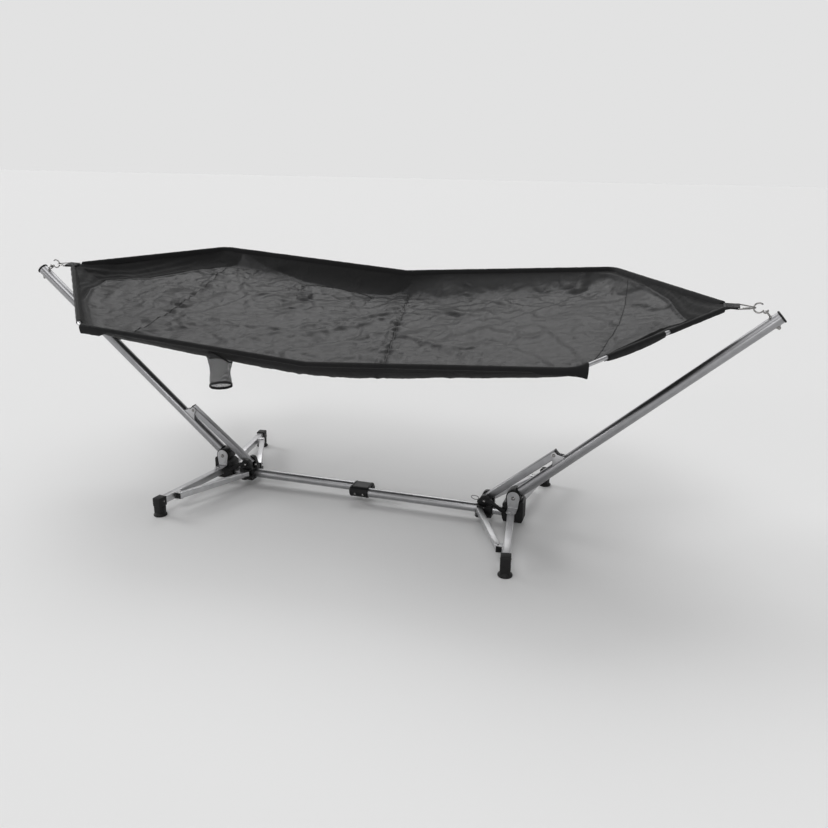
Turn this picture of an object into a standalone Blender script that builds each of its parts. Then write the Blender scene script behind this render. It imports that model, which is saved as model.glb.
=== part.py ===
"""Folding hammock stand of aluminium tube, with its hammock.

Metres, +Z up. X runs along the hammock, Y across it, and the floor is z = 0.
The stand is two equal ends joined at the middle of the rail. Each end is modelled
in its own frame, whose +X points away from the middle; the left end is the right
end turned half round, so their rails lie side by side in the coupler.
"""
from math import atan2, ceil, cos, hypot, pi, radians, sin, tan

import bmesh
import bpy
from mathutils import Matrix, Vector

# Clearances
GAP = 0.0003
RUN = 0.0004
SHEET_GAP = 0.0002

# Rail: two round tubes side by side
LANE = 0.021
RAIL_R = 0.0175
RAIL_WALL = 0.0015
RAIL_Z = 0.041
COUPLER_HALF = 0.036
COUPLER_WALL = 0.0035
COUPLER_END = 0.004
COUPLER_BOSS = 0.0025

# Hub, where an arm and two legs meet the rail
HUB_X = 0.590
HUB_Z = 0.107
HUB_HALF = 0.0282
HUB_INNER = 0.038
HUB_OUTER = 0.0365
HUB_FLOOR = 0.013
HUB_SADDLE_R = 0.0288
HUB_RAIL_DEPTH = 0.0205
CHEEK_THICK = 0.0025
CHEEK_R = 0.0225
PIVOT_R = 0.0040
PIVOT_HEAD_R = 0.0078
PIVOT_HEAD = 0.0042

# Arm
ARM_ANGLE = radians(41.5)
ARM_LENGTH = 1.055
ARM_R = 0.019
ARM_WALL = 0.0015
SOCKET_R = 0.027
SOCKET_PLUG = 0.040
COLLAR_LIP = 0.0015
COLLAR_R = ARM_R + COLLAR_LIP
CAP_LIP = 0.0025
CAP_R = ARM_R + CAP_LIP
CAP_THICK = 0.006
CAP_STEM = 0.014
EYE_BACK = 0.029
EYE_RING_R = 0.0095
EYE_WIRE_R = 0.0027
EYE_SHANK_R = 0.0030

# Strut between the slider and the arm
SQUARE = 0.025
SQUARE_WALL = 0.0015
SQUARE_ROUND = 0.0025
STRUT_ALONG = 0.2110
STRUT_OFFSET = 0.0423
STRUT_TAIL = 0.010
STRUT_TOE = 0.011
BRACKET_THICK = 0.0020
BRACKET_EAR_R = 0.0110
BRACKET_FOOT = 0.028
BRACKET_BASE = 0.0025
STRUT_BOLT_R = 0.0030

# Slider on the rail
SLIDER_X = 0.487
SLIDER_HALF = 0.027
SLIDER_Y = 0.033
SLIDER_TOP = 0.066
SLIDER_BOTTOM = 0.0185
SLIDER_BOLT_Z = 0.0846
SLIDER_EAR_TOP = 0.0185
PIN_X = -0.0255
PIN_R = 0.0030
PIN_BOSS_R = 0.0065
PIN_BOSS_TOP = 0.071
PIN_KNOB_R = 0.0045
PIN_KNOB_Z = 0.0722
PIN_KNOB = 0.0060
RING_R = 0.0150
RING_WIRE_R = 0.0011
RING_TILT = radians(12)

# Legs, braces and feet
LEG_PIVOT_Y = 0.062
TAB_R = 0.0175
TAB_Z = 0.0660
FOOT_X = 0.640
FOOT_Y = 0.395
RIVET_R = 0.0040
RIVET_HEAD_R = 0.0070
RIVET_HEAD = 0.0022
LEG_HEEL = 0.011
BRACE_SQUARE = 0.020
BRACE_RIVET_X = 0.600
BRACE_RIVET_Y = 0.320
BRACE_PIVOT_X = -0.010
BRACE_PIVOT_Y = 0.058
BRACE_TAIL = 0.008
BRACE_TOE = 0.011
BRACE_CAP = 0.003
BRACE_PIN_R = 0.0030
CLIP_THICK = 0.0018
CLIP_R = 0.0100
FOOT_COLLAR = 0.034
FOOT_COLLAR_BACK = 0.020
FOOT_COLLAR_FRONT = 0.018
FOOT_POST = 0.028
FOOT_BASE_R = 0.024
FOOT_BASE = 0.0055

# Latch between slider and hub
LATCH_THICK = 0.0035
LATCH_R = 0.0085
LATCH_REACH = 0.0765
LATCH_DROP = 0.030

# Hooks and links
HOOK_WIRE_R = 0.0025
HOOK_SMALL_R = 0.0066
HOOK_BIG_R = 0.0150
LINK_WIRE_R = 0.0022
LINK_LENGTH = 0.048
LINK_CORNER = 0.0035
LINK_NOSE_R = 0.0065
LINK_SIDE_PLAY = 0.0006

# Hammock
TILT = radians(9.5)
BED_HALF = 0.487
BED_CORNER_X = 0.826
BED_END_INSET = 0.0158
BED_END_HALF = 0.030
BED_CORNER_DROP = 0.048
BED_MIDDLE_DROP = 0.108
BED_BEND_R = 0.070
BED_BELLY = 0.082
BED_BELLY_CORNER = 0.052
BED_BELLY_END = 0.040
BED_WALL_REACH = 0.115
BED_WALL_POWER = 2.7
BED_CORNER_EASE = 0.070
CLOTH = 0.0020
POLE_R = 0.0060
SLEEVE_R = 0.0083
STRAP_HALF = 0.0185
STRAP_THICK = 0.0018
STRAP_OVERLAP = 0.040
NET_X = -0.330
NET_IN = 0.052
NET_RIM_DROP = -0.029
NET_RIM_TILT = radians(21)
NET_TOP_R = 0.0400
NET_BOTTOM_R = 0.0350
NET_DEPTH = 0.149
NET_WALL = 0.0015
POCKET_OPEN = 0.018
POCKET_CLOTH = 0.0014

# Fineness of round shapes
ROUND = 24
SMALL_ROUND = 12

ALUMINIUM = ((0.66, 0.67, 0.69), 0.28, 1.0)
STEEL = ((0.62, 0.62, 0.62), 0.30, 1.0)
BRACKET_GREY = ((0.36, 0.37, 0.38), 0.42, 0.9)
BLACK_PLASTIC = ((0.022, 0.022, 0.024), 0.45, 0.0)
BLACK_CLOTH = ((0.045, 0.045, 0.048), 0.80, 0.0)
BLACK_WEBBING = ((0.018, 0.018, 0.019), 0.85, 0.0)


# Scene and materials

def clear_scene():
    for obj in list(bpy.data.objects):
        bpy.data.objects.remove(obj, do_unlink=True)


def new_collection(name):
    collection = bpy.data.collections.new(name)
    bpy.context.scene.collection.children.link(collection)
    return collection


def new_material(name, finish):
    colour, roughness, metallic = finish
    material = bpy.data.materials.new(name)
    material.use_nodes = True
    shader = material.node_tree.nodes["Principled BSDF"]
    shader.inputs["Base Color"].default_value = (*colour, 1.0)
    shader.inputs["Roughness"].default_value = roughness
    shader.inputs["Metallic"].default_value = metallic
    return material


def new_frame(name, parent=None, matrix=None):
    """An empty that carries pieces; it stands on the axis of their joint."""
    empty = bpy.data.objects.new(name, None)
    empty.empty_display_size = 0.02
    PARTS.objects.link(empty)
    if parent is not None:
        empty.parent = parent
    empty.matrix_local = matrix if matrix is not None else Matrix.Identity(4)
    return empty


def new_piece(name, mesh, finish, frame):
    """One sub-part: its mesh is given in the frame that carries it."""
    obj = bpy.data.objects.new(name, mesh)
    mesh.name = name
    mesh.materials.clear()
    mesh.materials.append(new_material(name, finish))
    mesh.shade_smooth()
    mesh.set_sharp_from_angle(angle=radians(30))
    PARTS.objects.link(obj)
    obj.parent = frame
    return obj


def helper(name, mesh, frame):
    """A solid that only cuts or joins a piece."""
    obj = bpy.data.objects.new(name, mesh)
    CUTTERS.objects.link(obj)
    obj.parent = frame
    obj.hide_render = True
    obj.display_type = "WIRE"
    return obj


def combine(piece, operation, mesh):
    """Cut or join a mesh, given in the piece's own frame, with a Boolean."""
    other = helper(f"{piece.name}_{operation.lower()}_{len(piece.modifiers)}", mesh, piece.parent)
    modifier = piece.modifiers.new(other.name, "BOOLEAN")
    modifier.operation = operation
    modifier.solver = "EXACT"
    modifier.object = other


# Shapes

def arc(cx, cy, radius, start, end, steps):
    """Points along an arc, angles in degrees."""
    points = []
    for step in range(steps + 1):
        angle = radians(start + (end - start) * step / steps)
        points.append((cx + radius * cos(angle), cy + radius * sin(angle)))
    return points


def evaluated(obj):
    """The object's evaluated mesh, welded; the object itself is removed."""
    bpy.context.view_layer.update()
    graph = bpy.context.evaluated_depsgraph_get()
    mesh = bpy.data.meshes.new_from_object(obj.evaluated_get(graph))
    bpy.data.objects.remove(obj, do_unlink=True)
    bm = bmesh.new()
    bm.from_mesh(mesh)
    bmesh.ops.remove_doubles(bm, verts=bm.verts, dist=1e-6)
    bm.to_mesh(mesh)
    bm.free()
    return mesh


def turned(profile, steps=ROUND, closed=False):
    """A profile of (radius, height), run down its outer side, turned about Z."""
    mesh = bpy.data.meshes.new("profile")
    count = len(profile)
    edges = [(i, i + 1) for i in range(count - 1)]
    if closed:
        edges.append((count - 1, 0))
    mesh.from_pydata([(r, 0.0, z) for r, z in profile], edges, [])
    obj = bpy.data.objects.new("profile", mesh)
    PARTS.objects.link(obj)
    screw = obj.modifiers.new("Turn", "SCREW")
    screw.axis = "Z"
    screw.angle = 2 * pi
    screw.steps = steps
    screw.render_steps = steps
    screw.use_merge_vertices = True
    screw.merge_threshold = 0.00001
    return evaluated(obj)


def tube(start, end, outer, inner, steps=ROUND):
    """A round tube along +Z."""
    return turned([(outer, end), (outer, start), (inner, start), (inner, end)], steps, True)


def rod(start, end, radius, steps=SMALL_ROUND):
    """A round bar along +Z with flat ends."""
    return turned([(0.0, end), (radius, end), (radius, start), (0.0, start)], steps)


def plate(outlines, half):
    """Flat outlines in XY, filled and extruded by half their thickness along Z."""
    curve = bpy.data.curves.new("outline", "CURVE")
    curve.dimensions = "2D"
    curve.fill_mode = "BOTH"
    curve.extrude = half
    for points in outlines:
        spline = curve.splines.new("POLY")
        spline.points.add(len(points) - 1)
        spline.use_cyclic_u = True
        for point, (x, y) in zip(spline.points, points):
            point.co = (x, y, 0.0, 1.0)
    obj = bpy.data.objects.new("outline", curve)
    PARTS.objects.link(obj)
    return evaluated(obj)


def wire(points, radius, cyclic=False, resolution=2):
    """A round wire through points in space, its ends filled."""
    curve = bpy.data.curves.new("wire", "CURVE")
    curve.dimensions = "3D"
    curve.bevel_depth = radius
    curve.bevel_resolution = resolution
    curve.use_fill_caps = True
    spline = curve.splines.new("POLY")
    spline.points.add(len(points) - 1)
    spline.use_cyclic_u = cyclic
    for point, co in zip(spline.points, points):
        point.co = (*co, 1.0)
    obj = bpy.data.objects.new("wire", curve)
    PARTS.objects.link(obj)
    return evaluated(obj)


def block(low, high, rounding=0.0, segments=1):
    """A box between two corners, its edges rounded."""
    bm = bmesh.new()
    bmesh.ops.create_cube(bm, size=1.0)
    low, high = Vector(low), Vector(high)
    bmesh.ops.scale(bm, vec=high - low, verts=bm.verts)
    bmesh.ops.translate(bm, vec=(low + high) / 2, verts=bm.verts)
    if rounding:
        bmesh.ops.bevel(bm, geom=bm.edges[:], offset=rounding, segments=segments,
                        profile=0.5, affect="EDGES")
    mesh = bpy.data.meshes.new("block")
    bm.to_mesh(mesh)
    bm.free()
    return mesh


def square_outline(size, rounding, steps=1):
    """A square with round corners."""
    half = size / 2 - rounding
    points = []
    for corner, (sx, sy) in enumerate(((1, 1), (-1, 1), (-1, -1), (1, -1))):
        points += arc(sx * half, sy * half, rounding, 90 * corner, 90 * corner + 90, steps)
    return points


def square_tube(size, start, end):
    """A square tube along +X."""
    inner = size - 2 * SQUARE_WALL
    outlines = [square_outline(size, SQUARE_ROUND), square_outline(inner, SQUARE_ROUND / 2)]
    mesh = plate(outlines, (end - start) / 2)
    mesh.transform(Matrix.Translation(((start + end) / 2, 0, 0)) @ Matrix.Rotation(pi / 2, 4, "Y"))
    return mesh


def moved(mesh, x=0.0, y=0.0, z=0.0):
    mesh.transform(Matrix.Translation((x, y, z)))
    return mesh


def along_x(mesh):
    mesh.transform(Matrix.Rotation(pi / 2, 4, "Y"))
    return mesh


def along_y(mesh):
    """Turn a shape that stands along Z to lie along Y."""
    mesh.transform(Matrix.Rotation(-pi / 2, 4, "X"))
    return mesh


def upright(mesh):
    """Stand an outline drawn in XY up in the XZ plane."""
    mesh.transform(Matrix.Rotation(pi / 2, 4, "X"))
    return mesh


def domed_pin(half, radius, head_radius, head):
    """A bolt along Y with a low domed head on each end."""
    crown = [(head_radius * 0.55, half + head), (head_radius * 0.9, half + head * 0.6)]
    side = [(head_radius, half + head * 0.25), (head_radius, half), (radius, half)]
    upper = [(0.0, half + head)] + crown + side
    lower = [(r, -z) for r, z in reversed(upper)]
    return along_y(turned(upper + lower, SMALL_ROUND))


# Rail and coupler

def make_rail(side, end):
    start = -COUPLER_HALF + COUPLER_END + GAP
    stop = HUB_X - HUB_INNER + HUB_RAIL_DEPTH - GAP
    mesh = along_x(tube(start, stop, RAIL_R, RAIL_R - RAIL_WALL))
    rail = new_piece(f"rail_{side}", moved(mesh, z=RAIL_Z), ALUMINIUM, end)
    hole = moved(rod(RAIL_Z, RAIL_Z + 2 * RAIL_R, PIN_R + RUN), SLIDER_X + PIN_X)
    combine(rail, "DIFFERENCE", hole)


def make_coupler():
    lobe = RAIL_R + COUPLER_WALL
    outline = arc(LANE, 0, lobe, -108, 108, 12) + arc(-LANE, 0, lobe, 72, 288, 12)
    mesh = plate([outline], COUPLER_HALF)
    mesh.transform(Matrix.Rotation(pi / 2, 4, "Z") @ Matrix.Rotation(pi / 2, 4, "X"))
    coupler = new_piece("rail_coupler", moved(mesh, z=RAIL_Z), BLACK_PLASTIC, None)
    for turn in (1, -1):
        depth = 2 * COUPLER_HALF + 0.01
        boss = along_x(turned([(0.0, 0.0), (RAIL_R * 0.9, 0.0), (RAIL_R, -COUPLER_BOSS * 0.4),
                               (RAIL_R, -2 * COUPLER_BOSS), (0.0, -2 * COUPLER_BOSS)]))
        moved(boss, COUPLER_HALF + COUPLER_BOSS, 0, 0)
        bore = along_x(rod(COUPLER_END, depth, RAIL_R + GAP, ROUND))
        moved(bore, -COUPLER_HALF, 0, 0)
        turn_matrix = Matrix.Rotation(0 if turn > 0 else pi, 4, "Z")
        bore.transform(turn_matrix)
        boss.transform(turn_matrix)
        combine(coupler, "UNION", moved(boss, 0, turn * LANE, RAIL_Z))
        combine(coupler, "DIFFERENCE", moved(bore, 0, -turn * LANE, RAIL_Z))


# Hub

def hub_outline():
    """Side view of the hub block, with a round saddle under the arm's socket."""
    x0 = HUB_X - HUB_INNER
    x1 = HUB_X + HUB_OUTER
    saddle = arc(HUB_X, HUB_Z, HUB_SADDLE_R, -20, -145, 14)
    foot = arc(x1 - 0.010, HUB_FLOOR + 0.010, 0.010, -70, 0, 4)
    return ([(x0, 0.026), (x0 + 0.006, HUB_FLOOR)] + foot
            + [(x1, 0.090), (x1 - 0.003, 0.0970)] + saddle
            + [(x0 + 0.008, 0.0870), (x0, 0.0800)])


def make_hub(side, end):
    mesh = upright(plate([hub_outline()], HUB_HALF))
    hub = new_piece(f"hub_block_{side}", mesh, BLACK_PLASTIC, end)
    x0 = HUB_X - HUB_INNER
    bore = along_x(rod(-0.01, HUB_RAIL_DEPTH, RAIL_R + GAP, ROUND))
    combine(hub, "DIFFERENCE", moved(bore, x0, 0, RAIL_Z))
    pivot = domed_pin(HUB_HALF + GAP + CHEEK_THICK + GAP, PIVOT_R, PIVOT_HEAD_R, PIVOT_HEAD)
    new_piece(f"arm_pivot_bolt_{side}", moved(pivot, HUB_X, 0, HUB_Z), STEEL, end)


def make_cheek(name, end, sy):
    """A sheet bracket: an upright cheek, bent out at its foot into a tab over the leg."""
    y = sy * (HUB_HALF + GAP + CHEEK_THICK / 2)
    z = TAB_Z + CHEEK_THICK / 2
    bm = bmesh.new()
    bend = [bm.verts.new((HUB_X + s * TAB_R, y, z)) for s in (1, -1)]
    top = [bm.verts.new((x, y, height)) for x, height in arc(HUB_X, HUB_Z, CHEEK_R, -15, 195, 14)]
    tip = [bm.verts.new((x, sy * v, z))
           for x, v in arc(HUB_X, LEG_PIVOT_Y, TAB_R, 0, 180, 12)]
    bm.faces.new([bend[0]] + top + [bend[1]])
    bm.faces.new([bend[1]] + tip[::-1] + [bend[0]])
    bmesh.ops.recalc_face_normals(bm, faces=bm.faces)
    mesh = bpy.data.meshes.new(name)
    bm.to_mesh(mesh)
    bm.free()
    cheek = new_piece(name, mesh, BRACKET_GREY, end)
    wall = cheek.modifiers.new("Sheet", "SOLIDIFY")
    wall.thickness = CHEEK_THICK
    wall.offset = 0.0
    wall.use_even_offset = True
    hole = along_y(rod(-0.01, 0.01, PIVOT_R + GAP))
    combine(cheek, "DIFFERENCE", moved(hole, HUB_X, y, HUB_Z))
    bottom = TAB_Z - GAP - SQUARE - GAP
    top_z = TAB_Z + CHEEK_THICK
    profile = [(0.0, top_z + RIVET_HEAD), (RIVET_HEAD_R * 0.6, top_z + RIVET_HEAD),
               (RIVET_HEAD_R, top_z - 0.0005), (RIVET_R, top_z - 0.0005), (RIVET_R, bottom),
               (RIVET_HEAD_R, bottom), (RIVET_HEAD_R * 0.6, bottom - RIVET_HEAD),
               (0.0, bottom - RIVET_HEAD)]
    combine(cheek, "UNION", moved(turned(profile, SMALL_ROUND), HUB_X, sy * LEG_PIVOT_Y))


# Arm

def arm_matrix():
    return Matrix.Translation((HUB_X, 0, HUB_Z)) @ Matrix.Rotation(-ARM_ANGLE, 4, "Y")


def eye_place():
    """Middle of the eye bolt's ring, in the arm's frame."""
    along = ARM_LENGTH - EYE_BACK
    return along, ARM_R + EYE_RING_R + EYE_WIRE_R + 0.0012


def make_arm_tube(side, arm):
    start = SOCKET_R + GAP
    mesh = along_x(tube(start, ARM_LENGTH - CAP_THICK, ARM_R, ARM_R - ARM_WALL))
    arm_tube = new_piece(f"arm_tube_{side}", mesh, ALUMINIUM, arm)
    hole = rod(-2 * ARM_R, 2 * ARM_R, EYE_SHANK_R + RUN)
    combine(arm_tube, "DIFFERENCE", moved(hole, ARM_LENGTH - EYE_BACK))


def make_arm_cap(side, arm):
    seat = ARM_LENGTH - CAP_THICK + GAP
    stem = ARM_R - ARM_WALL - GAP
    profile = [(0.0, ARM_LENGTH), (CAP_R - 0.003, ARM_LENGTH), (CAP_R, ARM_LENGTH - 0.002),
               (CAP_R, seat + 0.001), (CAP_R - 0.001, seat), (stem, seat),
               (stem, seat - CAP_STEM + 0.002), (stem - 0.002, seat - CAP_STEM),
               (0.0, seat - CAP_STEM)]
    new_piece(f"arm_cap_{side}", along_x(turned(profile)), BLACK_PLASTIC, arm)


def make_eye_bolt(side, arm):
    along, height = eye_place()
    washer = -ARM_R - GAP
    collar = ARM_R + GAP
    profile = [(0.0, height - EYE_RING_R), (EYE_SHANK_R, height - EYE_RING_R),
               (EYE_SHANK_R, collar + 0.0008), (0.0055, collar + 0.0008), (0.0055, collar),
               (EYE_SHANK_R, collar), (EYE_SHANK_R, washer), (0.0085, washer),
               (0.0085, washer - 0.0014), (0.0062, washer - 0.0014), (0.0062, washer - 0.0055),
               (0.0050, washer - 0.0085), (0.0028, washer - 0.0102), (0.0, washer - 0.0106)]
    bolt = new_piece(f"eye_bolt_{side}", moved(turned(profile, SMALL_ROUND), along), STEEL, arm)
    ring = turned([(EYE_RING_R + EYE_WIRE_R * cos(radians(a)), EYE_WIRE_R * sin(radians(a)))
                   for a in range(90, -270, -45)], 20, True)
    combine(bolt, "UNION", moved(along_x(ring), along, 0, height))


def make_arm_socket(side, arm):
    half = HUB_HALF
    eye = along_y(rod(-half, half, SOCKET_R, ROUND))
    socket = new_piece(f"arm_socket_{side}", eye, BLACK_PLASTIC, arm)
    plug = ARM_R - ARM_WALL - GAP
    profile = [(0.0, SOCKET_R + SOCKET_PLUG), (plug - 0.002, SOCKET_R + SOCKET_PLUG),
               (plug, SOCKET_R + SOCKET_PLUG - 0.002), (plug, SOCKET_R - 0.0003),
               (COLLAR_R, SOCKET_R - 0.0003), (COLLAR_R, SOCKET_R / 2), (0.0, SOCKET_R / 2)]
    combine(socket, "UNION", along_x(turned(profile)))
    combine(socket, "DIFFERENCE", along_y(rod(-2 * half, 2 * half, PIVOT_R + RUN)))


def bracket_inner():
    return SQUARE / 2 + RUN


def make_strut_bracket(side, arm):
    """Two ears on a saddle that sits on the arm, with the rivet that carries the strut."""
    inner = bracket_inner()
    seat = ARM_R * 0.72
    ears = arc(STRUT_ALONG, STRUT_OFFSET, BRACKET_EAR_R, -15, 195, 10)
    outline = [(STRUT_ALONG + BRACKET_FOOT, seat)] + ears + [(STRUT_ALONG - BRACKET_FOOT, seat)]
    outer = inner + BRACKET_THICK
    reach = BRACKET_FOOT - BRACKET_THICK * 3
    half = inner + BRACKET_THICK / 2
    low = (STRUT_ALONG - reach, -half, ARM_R / 2)
    high = (STRUT_ALONG + reach, half, ARM_R + BRACKET_BASE)
    bracket = new_piece(f"strut_bracket_{side}", block(low, high), BRACKET_GREY, arm)
    for sy in (1, -1):
        ear = upright(plate([outline], BRACKET_THICK / 2))
        combine(bracket, "UNION", moved(ear, 0, sy * (inner + BRACKET_THICK / 2)))
    combine(bracket, "DIFFERENCE", along_x(rod(STRUT_ALONG - 0.1, STRUT_ALONG + 0.1,
                                               ARM_R + GAP, ROUND)))
    sunk = BRACKET_THICK / 4
    pin = domed_pin(outer - sunk, STRUT_BOLT_R, STRUT_BOLT_R * 2, 0.003 + sunk)
    combine(bracket, "UNION", moved(pin, STRUT_ALONG, 0, STRUT_OFFSET))


# Strut

def strut_ends():
    """The strut's two pivots in the end's frame."""
    top = arm_matrix() @ Vector((STRUT_ALONG, 0, STRUT_OFFSET))
    bottom = Vector((SLIDER_X, 0, SLIDER_BOLT_Z))
    return top, bottom


def make_strut(side, end):
    top, bottom = strut_ends()
    run = bottom - top
    angle = atan2(run.z, run.x)
    place = Matrix.Translation(top) @ Matrix.Rotation(-angle, 4, "Y")
    frame = new_frame(f"strut_axis_{side}", end, place)
    tube_mesh = square_tube(SQUARE, -STRUT_TAIL, run.length + STRUT_TOE)
    strut = new_piece(f"strut_{side}", tube_mesh, ALUMINIUM, frame)
    for x in (0.0, run.length):
        hole = along_y(rod(-SQUARE, SQUARE, STRUT_BOLT_R + RUN))
        combine(strut, "DIFFERENCE", moved(hole, x))
    inside = SQUARE / 2 - SQUARE_WALL - GAP
    half = SQUARE / 2
    seat = -STRUT_TAIL - GAP
    lid = block((seat - 0.004, -half, -half), (seat, half, half), 0.0012)
    cap = new_piece(f"strut_cap_{side}", lid, BLACK_PLASTIC, frame)
    plug = block((seat - 0.002, -inside, -inside), (seat + 0.0045, inside, inside), 0.0018)
    combine(cap, "UNION", plug)


# Slider, pull pin and latch

def ear_outline(sy):
    """Plan of the slider's lower ear, which carries the brace's end."""
    tip = arc(BRACE_PIVOT_X, BRACE_PIVOT_Y, 0.0165, 0, 180, 10)
    root = SLIDER_Y - 0.004
    points = [(SLIDER_HALF - 0.001, root)] + tip + [(-SLIDER_HALF - 0.006, root)]
    return [(x, sy * y) for x, y in points]


def make_slider(side, end, near):
    frame = new_frame(f"slider_axis_{side}", end, Matrix.Translation((SLIDER_X, 0, 0)))
    leg_low = TAB_Z - GAP - SQUARE / 2 - BRACE_SQUARE / 2
    leg_high = leg_low + BRACE_SQUARE
    base = block((-SLIDER_HALF, -SLIDER_Y, SLIDER_BOTTOM), (SLIDER_HALF, SLIDER_Y, SLIDER_TOP), 0.003)
    slider = new_piece(f"slider_{side}", base, BLACK_PLASTIC, frame)
    inner = SQUARE / 2 + RUN
    shoulder = SLIDER_TOP - 0.006
    front = SLIDER_HALF - 0.0006
    cheek_line = ([(front, shoulder), (front, SLIDER_BOLT_Z)]
                  + arc(0, SLIDER_BOLT_Z, SLIDER_EAR_TOP, 20, 160, 7)
                  + [(-SLIDER_HALF + 0.004, SLIDER_TOP + 0.004), (-SLIDER_HALF + 0.002, shoulder)])
    thick = (SLIDER_Y - 0.001 - inner) / 2
    for sy in (1, -1):
        cheek = upright(plate([cheek_line], thick))
        combine(slider, "UNION", moved(cheek, 0, sy * (inner + thick)))
        lower = plate([ear_outline(sy)], 0.004)
        combine(slider, "UNION", moved(lower, z=leg_low - GAP - 0.004))
        lip_low = (-0.024, min(sy * 0.029, sy * 0.046), leg_high + GAP)
        lip_high = (0.010, max(sy * 0.029, sy * 0.046), leg_high + GAP + 0.003)
        combine(slider, "UNION", block(lip_low, lip_high))
    boss = moved(rod(SLIDER_TOP - 0.006, PIN_BOSS_TOP, PIN_BOSS_R), PIN_X)
    combine(slider, "UNION", boss)
    bore = along_x(rod(-0.08, 0.08, RAIL_R + RUN, ROUND))
    combine(slider, "DIFFERENCE", moved(bore, z=RAIL_Z))
    pivot = along_y(rod(0, 0.010, PIN_R + RUN))
    pivot.transform(Matrix.Rotation(0 if near > 0 else pi, 4, "Z"))
    combine(slider, "DIFFERENCE", moved(pivot, 0, near * (SLIDER_Y - 0.008), SLIDER_BOLT_Z))
    combine(slider, "DIFFERENCE", moved(rod(RAIL_Z, PIN_BOSS_TOP + 0.01, PIN_R + RUN), PIN_X))


def make_pull_pin(side, end):
    place = Matrix.Translation((SLIDER_X + PIN_X, 0, 0))
    frame = new_frame(f"pull_pin_axis_{side}", end, place)
    tip = RAIL_Z + RAIL_R + GAP
    top = PIN_KNOB_Z + PIN_KNOB
    profile = [(0.0, top), (PIN_KNOB_R - 0.0015, top), (PIN_KNOB_R, top - 0.0015),
               (PIN_KNOB_R, PIN_KNOB_Z + 0.001), (PIN_KNOB_R - 0.001, PIN_KNOB_Z),
               (PIN_R, PIN_KNOB_Z), (PIN_R, tip + 0.001), (PIN_R - 0.001, tip), (0.0, tip)]
    pin = new_piece(f"pull_pin_{side}", turned(profile, SMALL_ROUND), STEEL, frame)
    hole_z = top - PIN_KNOB / 2
    hole = along_y(rod(-0.01, 0.01, RING_WIRE_R + 0.0006, 12))
    combine(pin, "DIFFERENCE", moved(hole, 0, 0, hole_z))
    ring = turned([(RING_R + RING_WIRE_R * cos(radians(a)), RING_WIRE_R * sin(radians(a)))
                   for a in range(90, -270, -60)], 20, True)
    centre = Vector((-RING_R * cos(RING_TILT), 0, hole_z + RING_R * sin(RING_TILT)))
    ring.transform(Matrix.Translation(centre) @ Matrix.Rotation(RING_TILT, 4, "Y"))
    new_piece(f"pull_ring_{side}", ring, STEEL, frame)


def make_latch(side, end, near):
    """A lever beside the strut, from the slider's upper bolt down to the hub."""
    place = Matrix.Translation((SLIDER_X, 0, SLIDER_BOLT_Z))
    frame = new_frame(f"latch_axis_{side}", end, place)
    elbow = (0.024, -0.001)
    tip = (LATCH_REACH, -LATCH_DROP)
    outline = (arc(0, 0, LATCH_R, 90, 270, 10)
               + [(elbow[0] - 0.002, -LATCH_R), (tip[0] - 0.016, tip[1] - 0.0035)]
               + arc(tip[0] - 0.006, tip[1] - 0.001, 0.006, 230, 360, 5)
               + [(tip[0], tip[1] + 0.010), (tip[0] - 0.012, tip[1] + 0.011),
                  (elbow[0] + 0.003, elbow[1] + 0.0065)])
    inner = SLIDER_Y + GAP
    mesh = upright(plate([outline], LATCH_THICK / 2))
    moved(mesh, 0, near * (inner + LATCH_THICK / 2))
    latch = new_piece(f"latch_{side}", mesh, BLACK_PLASTIC, frame)
    stub = along_y(rod(0, 0.0085, PIN_R))
    stub.transform(Matrix.Rotation(0 if near > 0 else pi, 4, "Z"))
    combine(latch, "UNION", moved(stub, 0, near * (inner - 0.0065)))


# Legs, feet and braces

def leg_geometry(sy):
    """The leg's pivot, its direction and the brace's two pivots, in the end's frame."""
    middle_z = TAB_Z - GAP - SQUARE / 2
    pivot = Vector((HUB_X, sy * LEG_PIVOT_Y, middle_z))
    foot = Vector((FOOT_X, sy * FOOT_Y, middle_z))
    rivet = Vector((BRACE_RIVET_X, sy * BRACE_RIVET_Y, middle_z))
    slide = Vector((SLIDER_X + BRACE_PIVOT_X, sy * BRACE_PIVOT_Y, middle_z))
    return pivot, foot, rivet, slide


def flat_frame(name, parent, start, towards):
    run = towards - start
    place = Matrix.Translation(start) @ Matrix.Rotation(atan2(run.y, run.x), 4, "Z")
    return new_frame(name, parent, place), place, run.length


def make_leg(tag, end, sy):
    pivot, foot, rivet, slide = leg_geometry(sy)
    frame, place, length = flat_frame(f"leg_axis_{tag}", end, pivot, foot)
    mesh = square_tube(SQUARE, -LEG_HEEL, length + FOOT_COLLAR_FRONT - 0.005)
    leg = new_piece(f"leg_{tag}", mesh, ALUMINIUM, frame)
    combine(leg, "DIFFERENCE", rod(-SQUARE, SQUARE, RIVET_R + RUN))
    local = place.inverted() @ rivet
    inboard = 1 if local.y > 0 else -1
    root = inboard * (SQUARE / 2 - 0.0012)
    lug = arc(local.x, abs(local.y), CLIP_R, 15, 165, 8)
    outline = [(local.x + 0.014, abs(root))] + lug + [(local.x - 0.014, abs(root))]
    outline = [(x, inboard * y) for x, y in outline]
    half = BRACE_SQUARE / 2 + RUN + CLIP_THICK / 2
    for sz in (1, -1):
        combine(leg, "UNION", moved(plate([outline], CLIP_THICK / 2), z=sz * half))
    pin = rod(-half, half, BRACE_PIN_R)
    combine(leg, "UNION", moved(pin, local.x, local.y))
    make_foot(tag, frame, length)


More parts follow.
